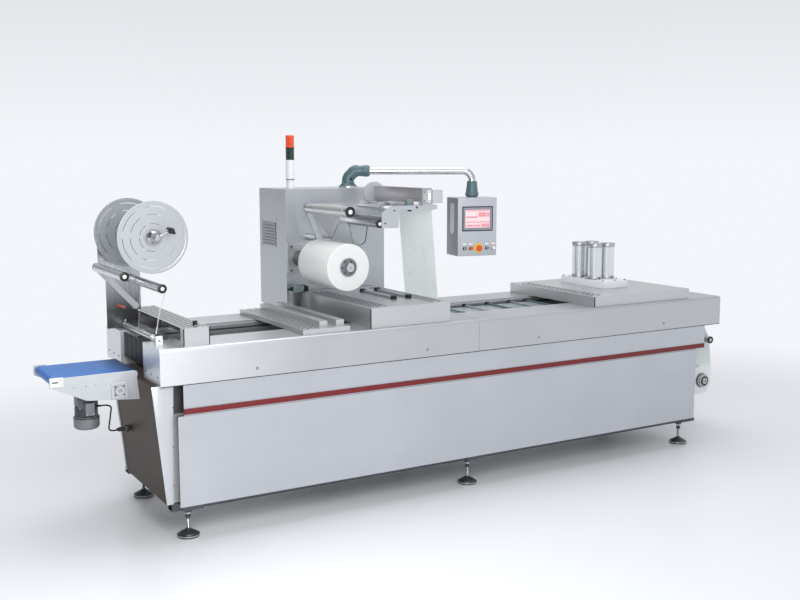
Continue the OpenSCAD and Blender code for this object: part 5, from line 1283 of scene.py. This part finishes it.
class PACKER_OT_panel(Maker, bpy.types.Operator):
    """Builds the operator panel with its screen and buttons"""

    bl_idname = "packer.panel"
    bl_label = "Operator panel"

    def execute(self, context):
        oval = rounded([(-28, 1440), (28, 1440), (28, 1640), (-28, 1640)], 27, 10)
        coupling = [(1674, 0.2), (1674, 34), (1679, 35), (1686, 43), (1700, 43), (1704, 41)]
        coupling += [(1706 + i * 8, 40.5 - i - (0.0 if i % 2 else 1.6)) for i in range(8)]
        coupling += [(1768, 33.5), (1776, 32), (1777.5, 24), (1777.5, 0.2)]
        parts = [
            (on_panel(box((-136, PANEL_FRONT, 1302), (136, -PANEL_FRONT, 1674), 2.0, 4.0)), "panel_paint"),
            (on_panel(box((-136.2, -72, 1306), (136.2, -70.6, 1670), 0.1, 0.3)), "dark"),
            (on_panel(slab(oval, -140, -135, "x", 2.0)), "panel_paint"),
            # A thin sheet on the box's left side in the darker panel finish: painted shade on that side.
            (on_panel(box((-136.4, -87, 1305), (-135.9, 87, 1671), 0.1, 3.0, "x")), "panel_side"),
            (turned(PANEL_AXIS, coupling, "z", 44), "casting"),
        ]
        for share in (-0.33, 0.24):
            x = share * PANEL_WIDTH
            low = (x - 2.2, PANEL_FRONT - 8.2, BUTTON_Z - 10)
            slit = box(low, (x + 2.2, PANEL_FRONT - 7, BUTTON_Z + 10), 0.3, 0.8)
            parts += [
                (on_front(share, [(0, 0.2), (0, 15), (-2, 15), (-3, 13.5), (-3, 0.2)]), "chrome"),
                (on_front(share, [(-2.5, 0.2), (-2.5, 11.5), (-7, 11.5), (-8, 10), (-8, 0.2)]), "dark"),
                (on_panel(slit), "white"),
            ]
        collar = [(0, 6.3), (0, 30), (-2.2, 30), (-3, 28.5), (-3, 6.3)]
        parts.append((on_front(0.03, collar, 48, True), "ring"))
        collar = [(0, 6.3), (0, 15), (-2, 15), (-3, 13.5), (-3, 6.3)]
        parts += [(on_front(share, collar, 32, True), "chrome") for share in (-0.17, 0.41)]
        for share in (-0.33, -0.17, 0.24, 0.41):
            x = share * PANEL_WIDTH
            plate = box((x - 13, PANEL_FRONT - 0.7, 1373), (x + 13, PANEL_FRONT + 0.3, 1384), 0.2, 1.0)
            parts.append((on_panel(plate), "white"))
        finished("panel_case", parts, "hmi_box", "hmi_panel")
        self.screen()
        self.buttons()
        return {"FINISHED"}

    def screen(self):
        """A stepped frame round a lit face with plain bars and fields."""
        low, high = np.array([-107.0, 1461.0]), np.array([107.0, 1619.0])
        steps = ((0.0, 0.0), (0.0, 3.2), (1.0, 4.0), (5.0, 4.0), (6.5, 3.0), (19.0, 3.0), (20.5, 2.2),
                 (22.0, 0.6), (22.0, 0.0))
        dark = []
        for inset, rise in steps:
            outline = rectangle(low + inset, high - inset, max(1.0, 5 - inset * 0.1))
            dark.append(upright(outline, PANEL_FRONT - rise))
        light = [upright(rectangle(low + inset, high - inset, 3.0), PANEL_FRONT - rise)
                 for inset, rise in ((7.0, 2.9), (7.0, 3.25), (18.5, 3.25), (18.5, 2.9))]
        glass = box((low[0] + 21, -92.0, low[1] + 21), (high[0] - 21, -90.0, high[1] - 21), 0.2, 0.5)
        parts = [(on_panel(skin(dark, True)), "bezel"), (on_panel(skin(light, True)), "bezel_light")]
        parts.append((on_panel(glass), "screen"))
        for x0, z0, x1, z1 in (
            (-80, 1588, 80, 1594),
            (-80, 1545, -2, 1556),
            (6, 1552, 60, 1580),
            (64, 1552, 82, 1580),
            (-80, 1515, 82, 1522),
            (-80, 1490, -30, 1502),
            (-24, 1490, 20, 1502),
            (28, 1488, 82, 1508),
        ):
            parts.append((on_panel(box((x0, -92.3, z0), (x1, -91.9, z1), 0.05, 0.3)), "screen_bar"))
        finished("panel_screen", parts, "hmi_screen", "hmi_panel")

    def buttons(self):
        """The emergency stop is a mushroom head on a neck; the small ones have a shallow dish."""
        head = [(-11, 0.2), (-11, 13), (-12, 19), (-14.5, 20), (-17, 19), (-18.6, 14), (-19, 7), (-19, 0.2)]
        neck = [(11, 0.2), (11, 6), (-11.5, 6), (-11.5, 0.2)]
        stop = [(on_front(0.03, head, 44), "stop"), (on_front(0.03, neck, 24), "dark")]
        finished("stop_mushroom", stop, "estop_button", "estop")
        small = [(-8, 0.2), (-8, 10), (-9, 12), (-14, 12), (-16, 11), (-15.4, 8), (-15.2, 0.2)]
        neck = [(11, 0.2), (11, 6), (-8.5, 6), (-8.5, 0.2)]
        for name, share, label, body, slot, node in (
            ("start_cap", 0.41, "white", "start", "white_button", "start_button"),
            ("stop_cap", -0.17, "stop", "stop", "red_button", "stop_button"),
        ):
            shapes = [(on_front(share, small), label), (on_front(share, neck, 24), "dark")]
            finished(name, shapes, node, body)


# Film path


class PACKER_OT_film_rolls(Maker, bpy.types.Operator):
    """Winds the two film rolls with their cores, chucks and brake"""

    bl_idname = "packer.film_rolls"
    bl_label = "Film rolls"

    def execute(self, context):
        wound = [(-190, 56), (-189.5, 60), (-189.8, 74), (-189.5, 90), (-189.9, 104), (-189.5, 118),
                 (-189, 130), (-188, 133.2), (-186, 134), (186, 134), (188, 133.2), (190, 128), (190, 56)]
        chuck = [(-188, 0.2), (-188, 24), (-204, 24), (-214, 25), (-216, 23), (-216, 8), (-210, 6),
                 (-210, 0.2)]
        drum = [(-186, 0.2), (-186, 46), (-184, 48.5), (150, 48.5), (150, 0.2)]
        lip = [(-190.6, 48), (-190.6, 55), (-188, 56), (-188, 48)]
        parts = [
            (turned(UPPER_ROLL, wound, "y", 96, True), "film_roll"),
            (sleeve(UPPER_ROLL, -191, 191, 49, 56, "y", 64), "reel"),
            (turned(UPPER_ROLL, drum, "y", 56), "motor_light"),
            (turned(UPPER_ROLL, lip, "y", 56, True), "motor"),
            (turned(UPPER_ROLL, chuck, "y", 40), "chrome"),
            (rod(UPPER_ROLL, 190, 200, 54, "y", 48), "steel_dark"),
            (rod(UPPER_ROLL, 200, 216, 75, "y", 56, 2.0), "dark"),
            (rod(UPPER_ROLL, 216, 459.6, 25, "y", 36), "motor_light"),
            (sleeve(UPPER_ROLL, 216, 232, 24.8, 44, "y", 48), "dark"),
        ]
        heads = bolt((1194, -186, 1315), "y", -1, 5.5, 5.0, 14)
        parts.append((many(heads, spots(36, 6, axis="y")), "steel_dark"))
        heads = bolt((1194, -214, 1315), "y", -1, 3.5, 2.0, 12)
        parts.append((many(heads, spots(14, 3, axis="y")), "dark"))
        finished("film_reel_upper", parts, "upper_film_roll", "upper_roll")
        wound = [(-190, 40), (-189.5, 60), (-189.8, 78), (-189.5, 92), (-188.5, 101.5), (-186, 102.9),
                 (186, 102.9), (188.5, 101.5), (190, 96), (190, 40)]
        chuck = [(-190, 0.2), (-190, 46), (-214, 46), (-220, 44), (-222, 38), (-222, 24), (-226, 22),
                 (-229.5, 20), (-229.5, 10), (-224, 8), (-224, 0.2)]
        parts = [
            (turned(LOWER_ROLL, wound, "y", 80, True), "film_low"),
            (turned(LOWER_ROLL, chuck, "y", 48), "machined"),
            (sleeve(LOWER_ROLL, -190, -196, 45.8, 50, "y", 48), "steel_dark"),
            (sleeve(LOWER_ROLL, -222, -224, 22, 34, "y", 32), "dark"),
            (sleeve(LOWER_ROLL, -223, -229.9, 14, 19, "y", 32), "chrome"),
            (rod(LOWER_ROLL, 189, 239, 15, "y", 28), "machined"),
            (turned(LOWER_ROLL, [(-188, 41), (-188, 0.2), (188, 0.2), (188, 41)], "y", 40), "reel"),
        ]
        finished("film_reel_lower", parts, "lower_film_roll", "lower_roll")
        at = (4070.0, 0.0, 646.0)
        lip = [(-230, 12), (-230, 22), (-228, 25), (-220, 25), (-220, 12)]
        parts = [
            (rod(at, -222, 200, 25, "y", 40), "roller"),
            (turned(at, lip, "y", 36, True), "dark"),
            (rod(at, -228, -220, 11.8, "y", 24), "chrome"),
            (rod(at, 200, 239, 10, "y", 24), "machined"),
        ]
        finished("roller_infeed", parts, "infeed_roller", "infeed_roller")
        flange = rounded_copy("roll_flange", "flange_upper", "sheet_up", 1)
        repaint(flange.data, ("steel_dark",), centres_of(flange.data)[:, 1] < 447.0)
        return {"FINISHED"}


class PACKER_OT_web_path(Maker, bpy.types.Operator):
    """Builds the dancer, the guide roller, the film webs and the printer"""

    bl_idname = "packer.web_path"
    bl_label = "Film path and printer"

    def execute(self, context):
        rounded_copy("web_guide_frame", "guide_frame", "sheet_up", 0.75)
        dancer = capped((1183, 1629), 29, -240, 300)
        finished("dancer_cylinder", dancer, "dancer_roller", "dancer_roller")
        guide = capped((1371, 1557), 23, -240, 219)
        finished("guide_cylinder", guide, "guide_roller", "guide_roller")
        rounded_copy("dancer_arm", "dancer_lever", "sheet_up", 1, body="dancer", angle=50)
        self.webs()
        self.printer()
        return {"FINISHED"}

    def webs(self):
        """Each web is a line in the plane of the film's travel, carried across the film's width."""
        roll, dancer = (1194, 1315, 134.7), (1183, 1629, 29.7)
        turn, low = (1730, 1643, 15.7), (1790, 1003, 12.7)
        across = np.hypot(dancer[0] - roll[0], dancer[1] - roll[1])
        lean = np.degrees(np.arccos((roll[2] + dancer[2]) / across))
        up = np.degrees(np.arctan2(dancer[1] - roll[1], dancer[0] - roll[0])) - lean
        down = contact(turn, low, 1)
        start, end = on(roll, up), on(dancer, up + 180)
        over = np.vstack([arc(dancer, up + 180, 90, 16), np.linspace(on(dancer, 90), on(turn, 90), 16)[1:]])
        for name, line, label, still, moving in (
            ("web_rising", np.linspace(start, end, 12), "web_clear", start, end),
            ("web_level", over, "web_metal", on(turn, 90), on(dancer, 90)),
        ):
            web = finished(name, [(sheet_of(line), label)], body=None)
            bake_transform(web)
        rest = [arc(turn, 90, down, 8), np.linspace(on(turn, down), on(low, down), 20)[1:]]
        rest += [arc(low, down, -90, 8)[1:], [(1650, 1003 - 12.7)]]
        finished("web_inclined", [(sheet_of(np.vstack(rest)), "web")], "film_webs")
        roll, infeed, entry = (4030, 354, 103.7), (4070, 646, 25.7), (3883, 955, 15.7)
        up, leave = contact(roll, infeed, -1), contact(infeed, entry, -1)
        lower = [np.linspace(on(roll, up), on(infeed, up), 10), arc(infeed, up, leave, 10)[1:]]
        lower += [np.linspace(on(infeed, leave), on(entry, leave), 10)[1:], arc(entry, leave, 90, 8)[1:]]
        lower.append([(3800, 970.7)])
        finished("web_lower", [(sheet_of(np.vstack(lower)), "web")])

    def printer(self):
        """The beam with its lid, box and end disc, then the clamps and bars beside it."""
        disc = [(0, 0.2), (0, 73), (2, 75), (8, 75), (10, 73), (10, 50), (8.5, 48), (8.5, 0.2)]
        parts = [
            (box((1640, -260, 1665), (1705, 300, 1750), 1.5, 3.0, "y"), "printer"),
            (box((1639.5, -260, 1750), (1705.5, 300, 1755), 1.0, 1.5, "y"), "sheet_across"),
            (box((1705, -260, 1667), (1781, -200, 1743), 2.0, 4.0), "sheet_light"),
            (box((1704, -260.4, 1664), (1708, -199, 1744.5), 0.4, 0.8), "dark"),
            (turned((1640, 300, 1707.5), disc, "y", 56), "sheet_light"),
            (box((1650, -249, 1657), (1695, -241, 1665), 0.5, 1.0), "sheet"),
            (box((1650, 222, 1657), (1695, 230, 1665), 0.5, 1.0), "sheet"),
            (box((1646, -262.5, 1672), (1672, -259.5, 1742), 0.8, 2.0), "sheet_up"),
            (box((1676, -262.5, 1672), (1700, -259.5, 1742), 0.8, 2.0), "white"),
        ]
        corners = [(x, -262, z) for x in (1652, 1690) for z in (1682, 1732)]
        parts += [(bolt(at, "y", -1, 4, 2, 14), "dark") for at in corners]
        finished("printer_body", parts, "printer_beam")
        grip = [(0, 0.2), (0, 5), (-16, 5), (-18, 9), (-24, 12), (-34, 12), (-36, 10), (-36, 0.2)]
        clamps = [
            (box((1560, -225, 1650), (1606, -196, 1690), 1.5, 2.5), "actuator"),
            (box((1606, -222, 1656), (1640, -200, 1676), 1.5, 2.5), "white"),
            (turned((1585, -210, 1657), grip, "z", 24), "dark"),
            (box((1470, -180, 1657), (1520, -40, 1672), 1.5, 2.5), "machined"),
            (box((1470, 60, 1657), (1520, 200, 1672), 1.5, 2.5), "machined"),
            (rod((1610, -248.8, 1645), -4, 0, 6, "y", 16), "dark"),
            (bolt((1400, -249, 1560), "y", -1, 5, 2.5, 14), "dark"),
            (bolt((1460, -249, 1630), "y", -1, 5, 2.5, 14), "dark"),
        ]
        finished("printer_clamps", clamps)


def on(circle_at, degrees):
    """A point on a circle given as x, z and radius."""
    x, z, r = circle_at
    turn = np.radians(degrees)
    return np.array([x + r * np.cos(turn), z + r * np.sin(turn)])


def arc(circle_at, start, end, steps):
    """Equally spaced points on a circle from one turn to another."""
    return np.array([on(circle_at, a) for a in np.linspace(start, end, steps)])


def contact(first, second, side):
    """The turn at which a straight web leaves one circle for the next: the way between the centres plus or
    minus the arc cosine of the radii's difference over the distance."""
    gap = np.array(second[:2], float) - np.array(first[:2], float)
    reach = np.linalg.norm(gap)
    lean = np.arccos((first[2] - second[2]) / reach)
    return np.degrees(np.arctan2(gap[1], gap[0]) + side * lean)


def sheet_of(line):
    """The line in x and z carried along y, with both sides and the edges closed."""
    thick = bpy.context.scene.packer_sizes.film * MM / 2
    line = np.asarray(line, float)
    ahead = np.gradient(line, axis=0)
    ahead /= np.linalg.norm(ahead, axis=1, keepdims=True)
    left = np.stack([-ahead[:, 1], ahead[:, 0]], -1)
    section = np.vstack([line + left * thick, (line - left * thick)[::-1]])
    return skin([upright(section, y) for y in np.linspace(-WEB_WIDTH / 2, WEB_WIDTH / 2, 9)])


# Inner parts keep their CAD shapes


class PACKER_OT_inner_parts(Maker, bpy.types.Operator):
    """Gives the frame, chains, dies and knives inside the machine their finishes"""

    bl_idname = "packer.inner_parts"
    bl_label = "Inner parts"

    def execute(self, context):
        for node, label in (
            ("base_frame", "steel_dark"),
            ("chain_guides", "aluminium"),
            ("transport_chains", "steel_dark"),
            ("tool_plates", "aluminium"),
            ("die_lifts", "aluminium"),
            ("forming_die", "aluminium"),
            ("sealing_die", "aluminium"),
            ("plug_plate", "machined"),
            ("cross_knife", "machined"),
            ("slitter_shaft", "machined"),
            ("drive_shaft", "machined"),
            ("idler_shaft", "machined"),
            ("drive_roller", "machined"),
            ("tail_roller", "machined"),
        ):
            dress(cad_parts[node].data, label)
        return {"FINISHED"}


def floor_finish():
    """A pale floor that turns by its distance from the machine into the plain backdrop's own light."""
    colour = bpy.context.scene.packer_colours.floor
    material = finish("Floor", colour, 0.0, 0.35, EVEN, 4, 0.01, 0.01, 0.02, 0.0, 0.1)
    tree = material.node_tree
    where = put(tree, "ShaderNodeTexCoord")
    oval = put(tree, "ShaderNodeMapping", Scale=(0.42, 0.62, 0.0))
    tree.links.new(where.outputs["Object"], oval.inputs["Vector"])
    away = put(tree, "ShaderNodeVectorMath")
    away.operation = "LENGTH"
    tree.links.new(oval.outputs["Vector"], away.inputs[0])
    far = ranged(tree, away.outputs["Value"], 1.0, 2.6)
    far.node.interpolation_type = "SMOOTHSTEP"
    plain = put(tree, "ShaderNodeEmission", Color=(*BACKDROP, 1), Strength=1.0)
    pick = put(tree, "ShaderNodeMixShader")
    out = tree.nodes["Material Output"]
    tree.links.new(far, pick.inputs["Fac"])
    tree.links.new(tree.nodes["Principled BSDF"].outputs["BSDF"], pick.inputs[1])
    tree.links.new(plain.outputs["Emission"], pick.inputs[2])
    tree.links.new(pick.outputs["Shader"], out.inputs["Surface"])
    return material


def studio_world():
    """A pale room: full light at the horizon, 0.78 of it above, and 0.22 of it from the outfeed's side."""
    world = bpy.data.worlds.new("studio")
    world.use_nodes = True
    tree = world.node_tree
    tree.nodes.clear()
    where = put(tree, "ShaderNodeTexCoord")
    way = put(tree, "ShaderNodeSeparateXYZ")
    tree.links.new(where.outputs["Generated"], way.inputs["Vector"])
    both = put(tree, "ShaderNodeMath")
    both.operation = "MULTIPLY"
    tree.links.new(ranged(tree, way.outputs["X"], -0.5, 0.15, 0.22, 1.0), both.inputs[0])
    tree.links.new(ranged(tree, way.outputs["Z"], 0.0, 0.2, 1.0, 0.78), both.inputs[1])
    glow = put(tree, "ShaderNodeBackground", Color=(*BACKDROP, 1))
    tree.links.new(both.outputs["Value"], glow.inputs["Strength"])
    out = put(tree, "ShaderNodeOutputWorld")
    tree.links.new(glow.outputs["Background"], out.inputs["Surface"])
    return world


class PACKER_OT_stage(Maker, bpy.types.Operator):
    """Lays the floor and sets the studio lights"""

    bl_idname = "packer.stage"
    bl_label = "Stage"

    def execute(self, context):
        points = [(-40, -40, 0), (40, -40, 0), (40, 40, 0), (-40, 40, 0)]
        mesh = bpy.data.meshes.new("floor")
        mesh.from_pydata(points, [], [(0, 1, 2, 3)])
        mesh.materials.append(floor_finish())
        floor = bpy.data.objects.new("floor", mesh)
        context.scene.collection.objects.link(floor)
        context.scene.world = studio_world()
        for name, place, aim, size, power in (
            ("key", (-2.2, -5.2, 3.6), (-0.8, 0.0, 0.8), 3.0, 110.0),
            ("left", (-2.5, -3.2, 2.0), (-1.8, -0.4, 0.95), 1.2, 40.0),
            ("top", (0.0, 0.6, 5.5), (0.0, 0.0, 0.9), 5.0, 130.0),
        ):
            lamp = bpy.data.lights.new(name, "AREA")
            lamp.shape = "SQUARE"
            lamp.size = size
            lamp.energy = power
            piece = bpy.data.objects.new(name, lamp)
            place, aim = np.array(place), np.array(aim)
            ahead = (aim - place) / np.linalg.norm(aim - place)
            piece.location = place
            piece.rotation_euler = (np.arccos(-ahead[2]), 0.0, np.arctan2(-ahead[0], ahead[1]))
            context.scene.collection.objects.link(piece)
        context.scene.view_settings.view_transform = "Standard"
        return {"FINISHED"}


MAKERS = (
    PACKER_OT_camera,
    PACKER_OT_cords,
    PACKER_OT_rails,
    PACKER_OT_skirts,
    PACKER_OT_feet,
    PACKER_OT_covers,
    PACKER_OT_cylinders,
    PACKER_OT_trough,
    PACKER_OT_conveyor,
    PACKER_OT_rewinder,
    PACKER_OT_cabinet,
    PACKER_OT_signal_tower,
    PACKER_OT_panel_arm,
    PACKER_OT_panel,
    PACKER_OT_film_rolls,
    PACKER_OT_web_path,
    PACKER_OT_inner_parts,
    PACKER_OT_stage,
)


class PACKER_PT_pieces(bpy.types.Panel):
    """Lists the pieces of the machine"""

    bl_label = "Packaging machine"
    bl_idname = "PACKER_PT_pieces"
    bl_space_type = "VIEW_3D"
    bl_region_type = "UI"
    bl_category = "Packer"

    def draw(self, context):
        column = self.layout.column(align=True)
        for maker in MAKERS:
            column.operator(maker.bl_idname)
        for group in (context.scene.packer_sizes, context.scene.packer_colours):
            for key in group.__annotations__:
                column.prop(group, key)


CLASSES = (PackerColours, PackerSizes, *MAKERS, PACKER_PT_pieces)


def register():
    """Adds the classes and their settings to Blender."""
    for item in CLASSES:
        bpy.utils.register_class(item)
    bpy.types.Scene.packer_colours = bpy.props.PointerProperty(type=PackerColours)
    bpy.types.Scene.packer_sizes = bpy.props.PointerProperty(type=PackerSizes)


def unregister():
    """Takes the settings and the classes out again."""
    del bpy.types.Scene.packer_sizes
    del bpy.types.Scene.packer_colours
    for item in reversed(CLASSES):
        bpy.utils.unregister_class(item)


def main():
    register()
    bpy.ops.packer.camera()
    bpy.ops.packer.cords()
    bpy.ops.packer.rails()
    bpy.ops.packer.skirts()
    bpy.ops.packer.feet()
    bpy.ops.packer.covers()
    bpy.ops.packer.cylinders()
    bpy.ops.packer.trough()
    bpy.ops.packer.conveyor()
    bpy.ops.packer.rewinder()
    bpy.ops.packer.cabinet()
    bpy.ops.packer.signal_tower()
    bpy.ops.packer.panel_arm()
    bpy.ops.packer.panel()
    bpy.ops.packer.film_rolls()
    bpy.ops.packer.web_path()
    bpy.ops.packer.inner_parts()
    bpy.ops.packer.stage()


if __name__ == "__main__":
    main()
